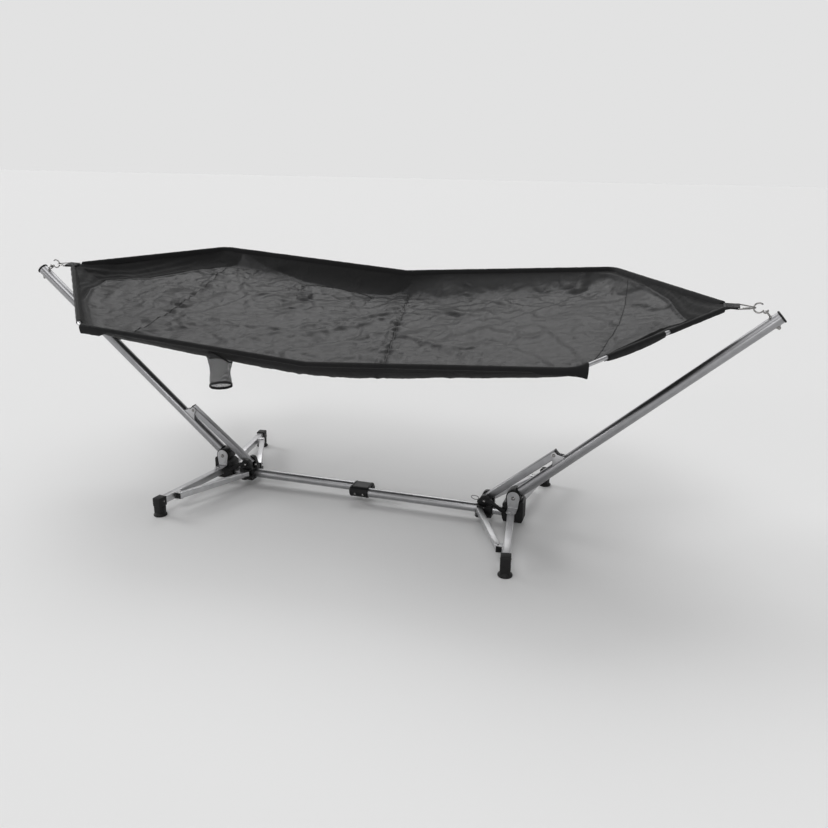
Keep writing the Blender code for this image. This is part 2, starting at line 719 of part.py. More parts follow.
def make_foot(tag, frame, length):
    """A collar over the leg's end, a post and a flared round base."""
    floor = -(TAB_Z - GAP - SQUARE / 2)
    half = FOOT_COLLAR / 2
    low = (length - FOOT_COLLAR_BACK, -half, -half)
    high = (length + FOOT_COLLAR_FRONT, half, half)
    foot = new_piece(f"foot_{tag}", block(low, high, 0.003), BLACK_PLASTIC, frame)
    post = FOOT_POST / 2
    top = -half + 0.004
    shaft = block((length - post, -post, floor + 0.002), (length + post, post, top), 0.002, 1)
    combine(foot, "UNION", shaft)
    base = turned([(0.0, floor + 0.014), (post * 0.96, floor + 0.014), (post * 1.1, floor + 0.010),
                   (FOOT_BASE_R - 0.001, floor + FOOT_BASE), (FOOT_BASE_R, floor + 0.0035),
                   (FOOT_BASE_R - 0.0015, floor), (0.0, floor)])
    combine(foot, "UNION", moved(base, length))
    bore = block((length - FOOT_COLLAR_BACK - 0.01, -SQUARE / 2 - GAP, -SQUARE / 2 - GAP),
                 (length + FOOT_COLLAR_FRONT - 0.004, SQUARE / 2 + GAP, SQUARE / 2 + GAP))
    combine(foot, "DIFFERENCE", bore)


def make_brace(tag, end, sy):
    pivot, foot, rivet, slide = leg_geometry(sy)
    frame, place, length = flat_frame(f"brace_axis_{tag}", end, rivet, slide)
    mesh = square_tube(BRACE_SQUARE, -BRACE_TAIL, length + BRACE_TOE)
    brace = new_piece(f"brace_{tag}", mesh, ALUMINIUM, frame)
    half = BRACE_SQUARE / 2
    low = (-BRACE_TAIL - BRACE_CAP, -half, -half)
    cap = block(low, (-BRACE_TAIL + 0.001, half, half), 0.001)
    combine(brace, "UNION", cap)
    combine(brace, "DIFFERENCE", rod(-SQUARE, SQUARE, BRACE_PIN_R + RUN))


# Hooks and links

def hook_points(end_x, end_z):
    """The hook's centre line: a small turn in the eye and a large open turn above it."""
    angle = ARM_ANGLE + pi / 2
    lean = radians(158)
    slack = HOOK_SMALL_R - HOOK_WIRE_R - EYE_WIRE_R - GAP
    wire_x = end_x + EYE_RING_R * cos(angle) + slack * cos(lean)
    wire_z = end_z + EYE_RING_R * sin(angle) + slack * sin(lean)
    reach = HOOK_SMALL_R + HOOK_BIG_R
    big_x = wire_x + reach * cos(lean)
    big_z = wire_z + reach * sin(lean)
    small = arc(wire_x, wire_z, HOOK_SMALL_R, 360 + 20, 158, 9)
    turn = 158 - 180
    large = arc(big_x, big_z, HOOK_BIG_R, turn, turn - 285, 18)
    return small + large[1:], (big_x, big_z)


def eye_in_end():
    along, height = eye_place()
    return arm_matrix() @ Vector((along, 0, height))


def make_s_hook(side, arm):
    eye = eye_in_end()
    points, _ = hook_points(eye.x, eye.z)
    mesh = wire([(x, 0, z) for x, z in points], HOOK_WIRE_R)
    mesh.transform(arm_matrix().inverted())
    new_piece(f"s_hook_{side}", mesh, STEEL, arm)


def hang_point():
    """Where a link's tip bears in the hook, in the end's frame."""
    eye = eye_in_end()
    _, (big_x, big_z) = hook_points(eye.x, eye.z)
    inset = HOOK_BIG_R - HOOK_WIRE_R - LINK_WIRE_R - GAP
    return big_x - inset, big_z


def hammock_matrix():
    """The hammock's own frame: X along it, on the line between its two hooks, and tilted."""
    x, z = hang_point()
    yaw = -atan2(LANE, x)
    return (Matrix.Translation((0, 0, z)) @ Matrix.Rotation(yaw, 4, "Z")
            @ Matrix.Rotation(TILT, 4, "X"))


def tip_reach():
    """Distance from the hammock's middle to a link's tip."""
    x, _ = hang_point()
    return hypot(x, LANE)


def link_outline():
    """A long triangle with round corners: a bar for the strap and a narrow tip."""
    tip = tip_reach()
    bar = tip - LINK_LENGTH
    corner = LINK_CORNER
    tip_r = LINK_NOSE_R
    straight = STRAP_HALF + LINK_SIDE_PLAY
    upper = arc(bar + corner, straight, corner, 180, 70, 4)
    nose = arc(tip - tip_r, 0, tip_r, 70, -70, 6)
    lower = [(x, -y) for x, y in reversed(upper)]
    return upper + nose + lower


def make_link(side, hammock, sx):
    points = [(sx * x, y, 0) for x, y in link_outline()]
    if sx < 0:
        points = points[::-1]
    new_piece(f"link_{side}", wire(points, LINK_WIRE_R, True), STEEL, hammock)


def make_strap(side, hammock, sx):
    """Webbing folded round the link's bar and sewn over the hammock's end."""
    bar = tip_reach() - LINK_LENGTH
    inner = LINK_WIRE_R + GAP
    outer = inner + STRAP_THICK
    tail = bar - STRAP_OVERLAP
    seat = CLOTH / 2 + GAP
    neck = bar - 0.010
    outline = (arc(bar, 0, outer, 90, -90, 8) + [(neck, -seat - STRAP_THICK),
               (tail, -seat - STRAP_THICK), (tail, -seat), (neck, -seat)]
               + arc(bar, 0, inner, -90, 90, 6)
               + [(neck, seat), (tail, seat), (tail, seat + STRAP_THICK),
                  (neck, seat + STRAP_THICK)])
    mesh = upright(plate([outline], STRAP_HALF))
    mesh.transform(Matrix.Rotation(0 if sx > 0 else pi, 4, "Z"))
    new_piece(f"strap_{side}", mesh, BLACK_WEBBING, hammock)


# Hammock bed

def bed_end():
    """Where the bed's side poles run out, just inside the link's bar."""
    return tip_reach() - LINK_LENGTH - BED_END_INSET


def pole_height(x):
    """A side pole's height between the middle seam and its corner."""
    return -BED_MIDDLE_DROP + (BED_MIDDLE_DROP - BED_CORNER_DROP) * abs(x) / BED_CORNER_X


def edge_path():
    """Centre line of a side pole from the middle seam to the end, as points and normals."""
    corner = Vector((BED_CORNER_X, BED_HALF, -BED_CORNER_DROP))
    end = Vector((bed_end() - 0.030, BED_END_HALF, -0.004))
    turn = atan2(BED_HALF - end.y, end.x - BED_CORNER_X)
    cut = BED_BEND_R * tan(turn / 2)
    diagonal = (end - corner).normalized()
    first = Vector((corner.x - cut, BED_HALF, 0))
    points = []
    rows = 8
    for row in range(rows):
        x = first.x * row / rows
        points.append((x, BED_HALF, 0.0))
    for x, y in arc(first.x, BED_HALF - BED_BEND_R, BED_BEND_R, 90, 90 - turn * 180 / pi, 3):
        points.append((x, y, turn * (x - first.x) / (2 * cut)))
    start = corner + diagonal * cut
    rows = 6
    for row in range(1, rows + 1):
        spot = start.lerp(end, row / rows)
        points.append((spot.x, spot.y, turn))
    path = []
    for x, y, _ in points:
        if x <= corner.x:
            z = pole_height(x)
        else:
            z = corner.z + (end.z - corner.z) * (x - corner.x) / (end.x - corner.x)
        slope = 0.0
        if x > first.x:
            slope = min(turn, turn * (x - first.x) / (start.x - first.x))
        path.append((x, y, z, slope))
    return path


def belly(x):
    """How deep the floor hangs below its side poles."""
    if x < BED_CORNER_X:
        share = x / BED_CORNER_X
        return BED_BELLY + (BED_BELLY_CORNER - BED_BELLY) * share ** 1.5
    share = (x - BED_CORNER_X) / (bed_end() - BED_CORNER_X)
    fade = max(0.0, min(1.0, (bed_end() - 0.030 - x) / 0.09))
    return (BED_BELLY_CORNER + (BED_BELLY_END - BED_BELLY_CORNER) * share) * fade ** 0.8


def inset(x, y):
    """How far a place lies inside the bed's outline, with the corner eased."""
    turn = atan2(BED_HALF - BED_END_HALF, bed_end() - 0.030 - BED_CORNER_X)
    side = BED_HALF - abs(y)
    slant = (BED_CORNER_X - x) * sin(turn) + (BED_HALF - abs(y)) * cos(turn)
    blend = max(BED_CORNER_EASE - abs(side - slant), 0.0) / BED_CORNER_EASE
    return max(0.0, min(side, slant) - blend * blend * BED_CORNER_EASE * 0.15)


def wall_share(x, y):
    """From 0 at a side pole to 1 on the floor, with steep walls."""
    rest = 1 - min(1.0, inset(x, y) / BED_WALL_REACH)
    return 1 - rest ** BED_WALL_POWER


def fold_height(x, across):
    """Broad folds: puckers beside the middle seam and creases that run to the corner."""
    pucker = 0.006 * sin(across * 21) * max(0.0, 1 - x / 0.20)
    crease = 0.005 * sin((x - 0.62 * abs(across)) * 16) * min(1.0, x / 0.25)
    fade = max(0.0, 1 - abs(across) ** 4)
    end = max(0.0, min(1.0, (bed_end() - 0.06 - x) / 0.2))
    return (pucker + crease) * fade * end


COLUMNS = 12
WRAP = 5
WRAP_START = 200
WRAP_END = 520


def bed_row(x, y, z, slope):
    """One row of the bed, from the near pole's sleeve to the far pole's."""
    normal = Vector((sin(slope), cos(slope), 0))
    centre = Vector((x, y, z))
    far = []
    for step in range(WRAP + 1):
        angle = radians(WRAP_START + (WRAP_END - WRAP_START) * step / WRAP)
        far.append(centre + SLEEVE_R * (cos(angle) * normal + Vector((0, 0, sin(angle)))))
    edge = far[0]
    inside = []
    for column in range(1, COLUMNS):
        across = sin(pi * (column / COLUMNS - 0.5))
        px = x + (edge.x - x) * across ** 8
        drop = belly(x) * wall_share(px, across * edge.y)
        inside.append(Vector((px, across * edge.y, z - drop + fold_height(x, across))))
    near = [Vector((p.x, -p.y, p.z)) for p in reversed(far)]
    return near + inside + far


def bed_rows():
    rows = [bed_row(*spot) for spot in edge_path()]
    last = rows[-1]
    reach = tip_reach() - LINK_LENGTH - LINK_WIRE_R - GAP - 0.002
    width = len(last)
    tongue = []
    for index, point in enumerate(last):
        share = -1 + 2 * index / (width - 1)
        tongue.append(Vector((reach, share * BED_END_HALF * 0.62, 0.0)))
    return rows, tongue


def grid_mesh(rows, sx, seam):
    """A sheet through rows of points; sx mirrors it to the other half."""
    bm = bmesh.new()
    grid = []
    for row in rows:
        grid.append([bm.verts.new((sx * (p.x + seam), p.y, p.z)) for p in row])
    for low, high in zip(grid, grid[1:]):
        for i in range(len(low) - 1):
            corners = [low[i], high[i], high[i + 1], low[i + 1]]
            bm.faces.new(corners if sx > 0 else corners[::-1])
    mesh = bpy.data.meshes.new("sheet")
    bm.to_mesh(mesh)
    bm.free()
    return mesh


def thicken(obj, thickness):
    wall = obj.modifiers.new("Cloth", "SOLIDIFY")
    wall.thickness = thickness
    wall.offset = 0.0


def make_bed(side, hammock, sx):
    rows, _ = bed_rows()
    bed = new_piece(f"bed_{side}", grid_mesh(rows, sx, SHEET_GAP), BLACK_CLOTH, hammock)
    thicken(bed, CLOTH)
    tongue_start = bed_end() - 0.052
    reach = tip_reach() - LINK_LENGTH - LINK_WIRE_R - GAP - 0.001
    low = (tongue_start, -BED_END_HALF * 0.9, -CLOTH / 2)
    high = (reach, BED_END_HALF * 0.9, CLOTH / 2)
    tongue = block(low, high)
    tongue.transform(Matrix.Rotation(0 if sx > 0 else pi, 4, "Z"))
    combine(bed, "UNION", tongue)
    if sx < 0:
        hole = rod(-0.4, 0.2, NET_TOP_R + GAP, ROUND)
        hole.transform(net_matrix())
        combine(bed, "DIFFERENCE", hole)


def net_matrix():
    """Upright frame of the bottle net, inside the near pole."""
    upright_again = Matrix.Rotation(-TILT, 4, "X")
    return Matrix.Translation((NET_X, -BED_HALF + NET_IN, pole_height(NET_X))) @ upright_again


def make_net(hammock):
    """A drawn-in tube of net under a round hole in the bed."""
    top = 0.004
    waist = top - NET_DEPTH + 0.045
    profile = [(NET_TOP_R, top), (NET_TOP_R, waist), (NET_TOP_R - 0.002, waist - 0.010),
               (NET_BOTTOM_R, top - NET_DEPTH), (NET_BOTTOM_R - NET_WALL, top - NET_DEPTH),
               (NET_TOP_R - NET_WALL - 0.002, waist - 0.009), (NET_TOP_R - NET_WALL, waist),
               (NET_TOP_R - NET_WALL, top)]
    mesh = turned(profile, ROUND, True)
    mesh.transform(net_matrix())
    net = new_piece("bottle_net", mesh, BLACK_CLOTH, hammock)
    far = 3 * NET_TOP_R
    above = block((-far, -far, 0), (far, far, far))
    above.transform(net_matrix() @ Matrix.Translation((0, 0, NET_RIM_DROP))
                    @ Matrix.Rotation(-NET_RIM_TILT, 4, "X"))
    combine(net, "DIFFERENCE", above)


def make_pocket(hammock):
    """A patch pocket on the floor by the far wall, open along its upper edge."""
    rows = bed_rows()[0][1:5]
    first = WRAP + 1 + COLUMNS - 5
    patch = []
    for number, row in enumerate(rows):
        middle = 1 - abs(number - 1.5) / 1.5
        line = []
        for step in range(3):
            point = row[first].lerp(row[first + 1], step / 2)
            open_share = middle * (0.0, 0.55, 1.0)[step]
            lift = (CLOTH + POCKET_CLOTH) / 2 + GAP + POCKET_OPEN * open_share
            line.append(point + Vector((0, -0.1, 1)).normalized() * lift)
        patch.append(line)
    pocket = new_piece("book_pocket", grid_mesh(patch, -1, SHEET_GAP), BLACK_CLOTH, hammock)
    thicken(pocket, POCKET_CLOTH)


def make_pole(name, hammock, sx, sy):
    points = []
    for x, y, z, _ in edge_path():
        points.append((sx * max(x, 0.0010), sy * y, z))
    if sx * sy < 0:
        points = points[::-1]
    new_piece(name, wire(points, POLE_R), ALUMINIUM, hammock)


def make_hammock():
    hammock = new_frame("hammock_axis", None, hammock_matrix())
    for side, sx in (("right", 1), ("left", -1)):
        make_bed(side, hammock, sx)
        make_link(side, hammock, sx)
        make_strap(side, hammock, sx)
        for depth, sy in (("near", -1), ("far", 1)):
            make_pole(f"side_pole_{depth}_{side}", hammock, sx, sy)
    make_net(hammock)
    make_pocket(hammock)


# One end of the stand

def make_end(side, sx):
    turn = Matrix.Rotation(0 if sx > 0 else pi, 4, "Z")
    end = new_frame(f"end_{side}", None, Matrix.Translation((0, -sx * LANE, 0)) @ turn)
    make_rail(side, end)
    make_hub(side, end)
    arm = new_frame(f"arm_axis_{side}", end, arm_matrix())
    make_arm_tube(side, arm)
    make_arm_cap(side, arm)
    make_eye_bolt(side, arm)
    make_s_hook(side, arm)
    make_arm_socket(side, arm)
    make_strut_bracket(side, arm)
    make_strut(side, end)
    make_slider(side, end, -sx)
    make_pull_pin(side, end)
    make_latch(side, end, -sx)
    for sy in (1, -1):
        tag = f"{'far' if sx * sy > 0 else 'near'}_{side}"
        make_cheek(f"hub_cheek_{tag}", end, sy)
        make_leg(tag, end, sy)
        make_brace(tag, end, sy)


clear_scene()
PARTS = new_collection("hammock_with_stand")
CUTTERS = new_collection("cutters")
make_coupler()
make_end("right", 1)
make_end("left", -1)
make_hammock()
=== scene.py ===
from math import atan2, ceil, cos, exp, hypot, pi, radians, sin, sqrt, tan

import bmesh
import bpy
import numpy as np
from mathutils import Matrix, Vector, noise


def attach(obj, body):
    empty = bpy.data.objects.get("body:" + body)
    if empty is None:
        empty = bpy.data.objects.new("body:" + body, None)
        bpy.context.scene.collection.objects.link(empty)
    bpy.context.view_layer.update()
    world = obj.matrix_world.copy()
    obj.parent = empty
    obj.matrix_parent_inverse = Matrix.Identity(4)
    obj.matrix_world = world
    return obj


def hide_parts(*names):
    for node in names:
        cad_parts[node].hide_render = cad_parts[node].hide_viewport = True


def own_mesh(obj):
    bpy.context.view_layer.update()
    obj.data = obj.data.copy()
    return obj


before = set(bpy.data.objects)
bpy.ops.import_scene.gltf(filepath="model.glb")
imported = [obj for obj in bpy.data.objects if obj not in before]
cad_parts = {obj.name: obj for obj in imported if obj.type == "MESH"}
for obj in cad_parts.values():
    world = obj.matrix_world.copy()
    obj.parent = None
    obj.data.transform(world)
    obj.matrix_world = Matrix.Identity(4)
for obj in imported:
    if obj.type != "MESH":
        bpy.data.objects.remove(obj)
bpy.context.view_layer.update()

# Sizes shared with the solids, in metres
GAP = 0.0003
LANE = 0.021
RAIL_R = 0.0175
RAIL_Z = 0.041
COUPLER_HALF = 0.036
HUB_X = 0.590
HUB_Z = 0.107
HUB_HALF = 0.0282
HUB_INNER = 0.038
HUB_OUTER = 0.0365
HUB_FLOOR = 0.013
CHEEK_THICK = 0.0025
CHEEK_R = 0.0225
ARM_ANGLE = radians(41.5)
ARM_LENGTH = 1.055
ARM_R = 0.019
SOCKET_R = 0.027
CAP_THICK = 0.006
EYE_BACK = 0.029
EYE_RING_R = 0.0095
EYE_WIRE_R = 0.0027
SQUARE = 0.025
STRUT_ALONG = 0.2110
STRUT_OFFSET = 0.0423
SLIDER_X = 0.487
SLIDER_BOLT_Z = 0.0846
SLIDER_Y = 0.033
SLIDER_HALF = 0.027
PIN_X = -0.0255
LEG_PIVOT_Y = 0.062
TAB_Z = 0.0660
TAB_R = 0.0175
FOOT_X = 0.640
FOOT_Y = 0.395
BRACE_SQUARE = 0.020
BRACE_RIVET_X = 0.600
BRACE_RIVET_Y = 0.320
BRACE_PIVOT_X = -0.010
BRACE_PIVOT_Y = 0.058
HOOK_WIRE_R = 0.0025
HOOK_SMALL_R = 0.0066
HOOK_BIG_R = 0.0150
LINK_WIRE_R = 0.0022
LINK_LENGTH = 0.048
LINK_CORNER = 0.0035
LINK_NOSE_R = 0.0065
STRAP_HALF = 0.0185
TILT = radians(9.5)


# Node materials

def feed(tree, socket, value):
    """Links another node's output to a socket, or sets the socket's own value."""
    if isinstance(value, bpy.types.NodeSocket):
        tree.links.new(value, socket)
    else:
        socket.default_value = value


def set_inputs(tree, node, **inputs):
    """Links or sets a node's inputs by name; a space in a name is written as _."""
    for name, value in inputs.items():
        feed(tree, node.inputs[name.replace("_", " ")], value)
    return node


def new_finish(name, **inputs):
    """A material with its node tree and its shader, whose constant inputs are given by name."""
    material = bpy.data.materials.new(name)
    material.use_nodes = True
    tree = material.node_tree
    return material, tree, set_inputs(tree, tree.nodes["Principled BSDF"], **inputs)


def new_node(tree, kind, **inputs):
    return set_inputs(tree, tree.nodes.new("ShaderNode" + kind), **inputs)


def place_coords(tree, scale=(1, 1, 1)):
    """The piece's own coordinates, kept as an attribute before it was placed."""
    source = new_node(tree, "Attribute")
    source.attribute_name = "own_place"
    mapping = new_node(tree, "Mapping", Scale=scale, Vector=source.outputs["Vector"])
    return mapping.outputs["Vector"]


def flat_coords(tree):
    """The flat cloth's coordinates, as its faces carry them."""
    source = new_node(tree, "UVMap")
    source.uv_map = "flat"
    return source.outputs["UV"]


def noise_node(tree, vector, scale, detail=3.0, rough=0.5):
    node = new_node(tree, "TexNoise", Scale=scale, Detail=detail, Roughness=rough, Vector=vector)
    return node.outputs["Fac"]


THREAD_SCALE = 330.0


def bands_node(tree, vector, direction, **inputs):
    """Straight bands that follow each other along one direction."""
    node = new_node(tree, "TexWave", Vector=vector, **inputs)
    node.bands_direction = direction
    return node.outputs["Fac"]


def ramp_node(tree, value, stops):
    node = new_node(tree, "ValToRGB", Fac=value)
    ramp = node.color_ramp
    while len(ramp.elements) < len(stops):
        ramp.elements.new(0.5)
    for element, (place, colour) in zip(ramp.elements, stops):
        element.position = place
        element.color = (*colour, 1.0) if hasattr(colour, "__len__") else (*[colour] * 3, 1.0)
    return node.outputs["Color"]


def range_node(tree, value, low, high):
    return new_node(tree, "MapRange", Value=value, To_Min=low, To_Max=high).outputs["Result"]


def math_node(tree, operation, *values):
    node = new_node(tree, "Math")
    node.operation = operation
    for socket, value in zip(node.inputs, values):
        feed(tree, socket, value)
    return node.outputs["Value"]


def mix_node(tree, share, first, second, blend="MIX"):
    """Mixes two colours; the node's colour sockets are the ones numbered 6 and 7."""
    node = new_node(tree, "Mix")
    node.data_type = "RGBA"
    node.blend_type = blend
    for socket, value in ((0, share), (6, first), (7, second)):
        feed(tree, node.inputs[socket], value)
    return node.outputs[2]


def waver(tree, value, colour, low, high, stops=(0.3, 0.7)):
    """A colour that wavers between a darker and a paler share of itself."""
    return ramp_node(tree, value, [(stop, tuple(c * share for c in colour))
                                   for stop, share in zip(stops, (low, high))])


def bump_chain(tree, shader, layers):
    """Bumps laid over each other: (height output, distance in metres, strength)."""
    normal = None
    for height, distance, strength in layers:
        bump = new_node(tree, "Bump", Distance=distance, Strength=strength, Height=height)
        if normal is not None:
            set_inputs(tree, bump, Normal=normal)
        normal = bump.outputs["Normal"]
    set_inputs(tree, shader, Normal=normal)


def metal_finish(name, colour, roughness, grain, spread=0.08, scratch=0.25):
    """Metal with draw lines along its own X axis, faint blotches and small scratches."""
    material, tree, shader = new_finish(name, Metallic=1.0, IOR=1.5)
    lines = noise_node(tree, place_coords(tree, (grain, 1.0, 1.0)), 1400.0, 2.0)
    blotch = noise_node(tree, place_coords(tree), 38.0, 4.0, 0.6)
    marks = noise_node(tree, place_coords(tree, (1.0, 0.18, 0.4)), 260.0, 6.0, 0.75)
    drawn = range_node(tree, lines, roughness * 0.75, roughness * 1.15)
    wear = ramp_node(tree, marks, [(0.62, 0.0), (0.72, scratch * 0.3)])
    set_inputs(tree, shader, Base_Color=waver(tree, blotch, colour, 1 - spread, 1 + spread),
               Roughness=math_node(tree, "ADD", drawn, wear))
    bump_chain(tree, shader, [(lines, 0.00001, 0.25), (marks, 0.00002, scratch * 0.5)])
    return material


def plastic_finish(name, colour, roughness, grit=1.0):
    """Moulded plastic: fine spark-eroded grain, paler scuffs and dust in patches."""
    material, tree, shader = new_finish(name, IOR=1.48, Specular_IOR_Level=0.30)
    grain = noise_node(tree, place_coords(tree), 2600.0, 2.0)
    patch = noise_node(tree, place_coords(tree), 60.0, 5.0, 0.62)
    scuff = noise_node(tree, place_coords(tree, (1.0, 0.3, 1.0)), 420.0, 5.0, 0.8)
    base = ramp_node(tree, patch, [(0.35, tuple(c * 0.82 for c in colour)),
                                   (0.75, tuple(c * 1.35 + 0.002 for c in colour))])
    pale = (*[c * 2.2 + 0.02 for c in colour], 1.0)
    worn = ramp_node(tree, scuff, [(0.66, 0.0), (0.80, 0.35)])
    set_inputs(tree, shader, Base_Color=mix_node(tree, worn, base, pale),
               Roughness=range_node(tree, patch, roughness * 0.8, roughness * 1.2))
    bump_chain(tree, shader, [(grain, 0.00006, 0.35 * grit), (scuff, 0.00003, 0.15)])
    return material


def crease_node(tree, flat, scale, patch_scale):
    """Crisp crossing creases that come and go in patches."""
    lines = new_node(tree, "TexNoise")
    lines.noise_type = "RIDGED_MULTIFRACTAL"
    lines.normalize = True
    set_inputs(tree, lines, Scale=scale, Detail=3.0, Roughness=0.42, Distortion=0.35, Vector=flat)
    patch = ramp_node(tree, noise_node(tree, flat, patch_scale, 2.0), [(0.38, 0.15), (0.62, 1.0)])
    return math_node(tree, "MULTIPLY", lines.outputs["Fac"], patch)


def cloth_finish(name, colour, side_and_shade_colour, roughness, crumple, shine):
    """Woven cloth: threads along its own flat coordinates, a little sheen and sharp creases.
    Where the cloth is marked as side cloth, it is darker and duller; the darkening is partly a
    darker side cloth and partly painted shade on the steep walls."""
    material, tree, shader = new_finish(name, Sheen_Weight=0.05, Sheen_Roughness=0.45, IOR=1.45,
                                        Specular_IOR_Level=shine)
    flat = flat_coords(tree)
    yarns = [bands_node(tree, flat, direction, Scale=THREAD_SCALE, Distortion=0.6, Detail=1.0,
                        Detail_Scale=0.5) for direction in ("X", "Y")]
    threads = math_node(tree, "MULTIPLY", *yarns)
    creases = crease_node(tree, flat, 7.5, 3.2)
    small = crease_node(tree, flat, 24.0, 5.0)
    fine = noise_node(tree, flat, 75.0, 4.0, 0.6)
    blotch = noise_node(tree, flat, 9.0, 3.0, 0.5)
    # The side share darkens the colour: partly a darker side cloth, partly painted wall shade.
    side = new_node(tree, "Attribute")
    side.attribute_name = "side_cloth_and_wall_shade"
    side = side.outputs["Fac"]
    tint = mix_node(tree, side, waver(tree, blotch, colour, 0.86, 1.14), (*side_and_shade_colour, 1.0))
    shade = ramp_node(tree, threads, [(0.0, 0.72), (0.6, 1.0)])
    dull = math_node(tree, "ADD", range_node(tree, fine, roughness * 0.88, roughness * 1.1),
                     range_node(tree, side, 0.0, 0.28))
    set_inputs(tree, shader, Base_Color=mix_node(tree, 0.8, tint, shade, "MULTIPLY"),
               Roughness=dull)
    bump_chain(tree, shader, [(creases, 0.0300, 0.6 * crumple), (small, 0.0065, 0.5 * crumple),
                              (fine, 0.0010, 0.3 * crumple), (threads, 0.00012, 0.5)])
    return material


def webbing_finish(name, colour):
    """Ribbed narrow webbing, with its ribs along the strap."""
    material, tree, shader = new_finish(name, Sheen_Weight=0.12, Roughness=0.8)
    coords = place_coords(tree)
    ribs = bands_node(tree, coords, "Y", Scale=210.0, Distortion=0.4)
    cross = bands_node(tree, coords, "X", Scale=THREAD_SCALE)
    set_inputs(tree, shader, Base_Color=waver(tree, ribs, colour, 0.7, 1.4, (0.2, 0.8)))
    bump_chain(tree, shader, [(ribs, 0.0004, 0.6), (cross, 0.0002, 0.4)])
    return material


def net_finish(name, colour):
    """Open net: threads in two slanting directions, with clear holes between them."""
    material, tree, shader = new_finish(name, Roughness=0.75)
    flat = flat_coords(tree)
    split = new_node(tree, "SeparateXYZ", Vector=flat)
    threads = []
    for way in (1, -1):
        turn = math_node(tree, "MULTIPLY", split.outputs["X"], 84.0)
        lean = math_node(tree, "MULTIPLY_ADD", split.outputs["Y"], way * 40.0, turn)
        saw = math_node(tree, "PINGPONG", lean, 0.5)
        threads.append(math_node(tree, "LESS_THAN", saw, 0.20))
    tone = noise_node(tree, flat, 30.0, 3.0)
    set_inputs(tree, shader, Alpha=math_node(tree, "MAXIMUM", *threads),
               Base_Color=waver(tree, tone, colour, 0.8, 1.6))
    return material


ALUMINIUM = metal_finish("drawn_aluminium", (0.44, 0.44, 0.45), 0.36, 0.01)
BAR_ALUMINIUM = metal_finish("square_bar_aluminium", (0.56, 0.56, 0.57), 0.36, 0.01)
STEEL = metal_finish("plated_steel", (0.29, 0.285, 0.28), 0.22, 1.0, 0.10, 0.3)
# A darker copy of the drawn aluminium for the arms and struts: painted shade standing for the dark
# room that they reflect.
ARM_ALUMINIUM_PAINTED_SHADE = metal_finish("arm_aluminium_painted_shade", (0.33, 0.33, 0.34), 0.36, 0.01)
SHEET = metal_finish("grey_sheet_steel", (0.50, 0.50, 0.51), 0.36, 0.3, 0.10, 0.4)
DARK_WIRE = metal_finish("dark_spring_wire", (0.05, 0.05, 0.052), 0.35, 1.0, 0.10, 0.3)
BLACK = plastic_finish("black_moulded_plastic", (0.005, 0.005, 0.0055), 0.42)
DULL_BLACK = plastic_finish("black_rubber_foot", (0.006, 0.006, 0.006), 0.55, 1.4)
# The bed cloth's second colour darkens the side bands and walls: partly a darker side cloth, partly
# painted shade.
BED_CLOTH = cloth_finish("bed_cloth", (0.0155, 0.0155, 0.0162), (0.0035, 0.0035, 0.0038),
                         roughness=0.385, crumple=1.9, shine=0.29)
# Darker cloth of the sleeves, hems and bindings. As the bed's outer side it is painted shade of the
# underside, which is the same cloth as the top.
SLEEVE_CLOTH_AND_UNDERSIDE_SHADE = cloth_finish("sleeve_cloth_and_underside_shade", (0.0085, 0.0085, 0.009), (0.0085, 0.0085, 0.009),
                          roughness=0.60, crumple=0.7, shine=0.16)
WEBBING = webbing_finish("black_webbing", (0.012, 0.012, 0.013))
THREAD = plastic_finish("dark_thread", (0.006, 0.006, 0.006), 0.8)
POCKET_THREAD = plastic_finish("pocket_thread", (0.034, 0.034, 0.035), 0.7)
NET = net_finish("black_net", (0.014, 0.014, 0.015))


# Shapes

WAY = {"right": 1, "left": -1}
X_AXIS = Matrix.Rotation(pi / 2, 4, "Y")
Y_AXIS = Matrix.Rotation(-pi / 2, 4, "X")
STANDING = Matrix.Rotation(pi / 2, 4, "X")
ACROSS_X = Matrix.Rotation(pi / 2, 4, "Z") @ Matrix.Rotation(pi / 2, 4, "X")


def at(x, y, z):
    return Matrix.Translation((x, y, z))


def clamp(value):
    return min(1.0, max(0.0, value))


def facing(direction, place=(0, 0, 0)):
    """Turns local Z to a direction and moves to a place."""
    turn = Vector((0, 0, 1)).rotation_difference(Vector(direction)).to_matrix().to_4x4()
    return Matrix.Translation(place) @ turn


def move_all(bm, matrix, verts=None):
    """Moves the given points, or all of them, if there is a matrix."""
    if matrix is not None:
        verts = bm.verts[:] if verts is None else list(verts)
        bmesh.ops.transform(bm, matrix=matrix, verts=verts)


def edges_of(verts):
    return list({e for v in verts for e in v.link_edges})


def level_edges(verts):
    """The edges of a plate or rod that lie in its two flat ends."""
    return [e for e in edges_of(verts) if abs(e.verts[0].co.z - e.verts[1].co.z) < 1e-7]


def round_edges(bm, verts, edges, size, segments=2, clamp_overlap=False):
    """Rounds edges, and gives back the points that are left and those that are new."""
    cut = bmesh.ops.bevel(bm, geom=edges, offset=size, segments=segments, profile=0.5,
                          affect="EDGES", material=-1, clamp_overlap=clamp_overlap)
    return list({v for v in list(verts) + cut["verts"] if v.is_valid})


def add_rod(bm, radius, start, end, matrix=None, steps=48, chamfer=0.0):
    """A closed round bar along the local Z axis."""
    verts = bmesh.ops.create_cone(bm, cap_ends=True, segments=steps, radius1=radius,
                                  radius2=radius, depth=end - start)["verts"]
    if chamfer:
        verts = round_edges(bm, verts, level_edges(verts), chamfer)
    move_all(bm, at(0, 0, (start + end) / 2), verts)
    move_all(bm, matrix, verts)


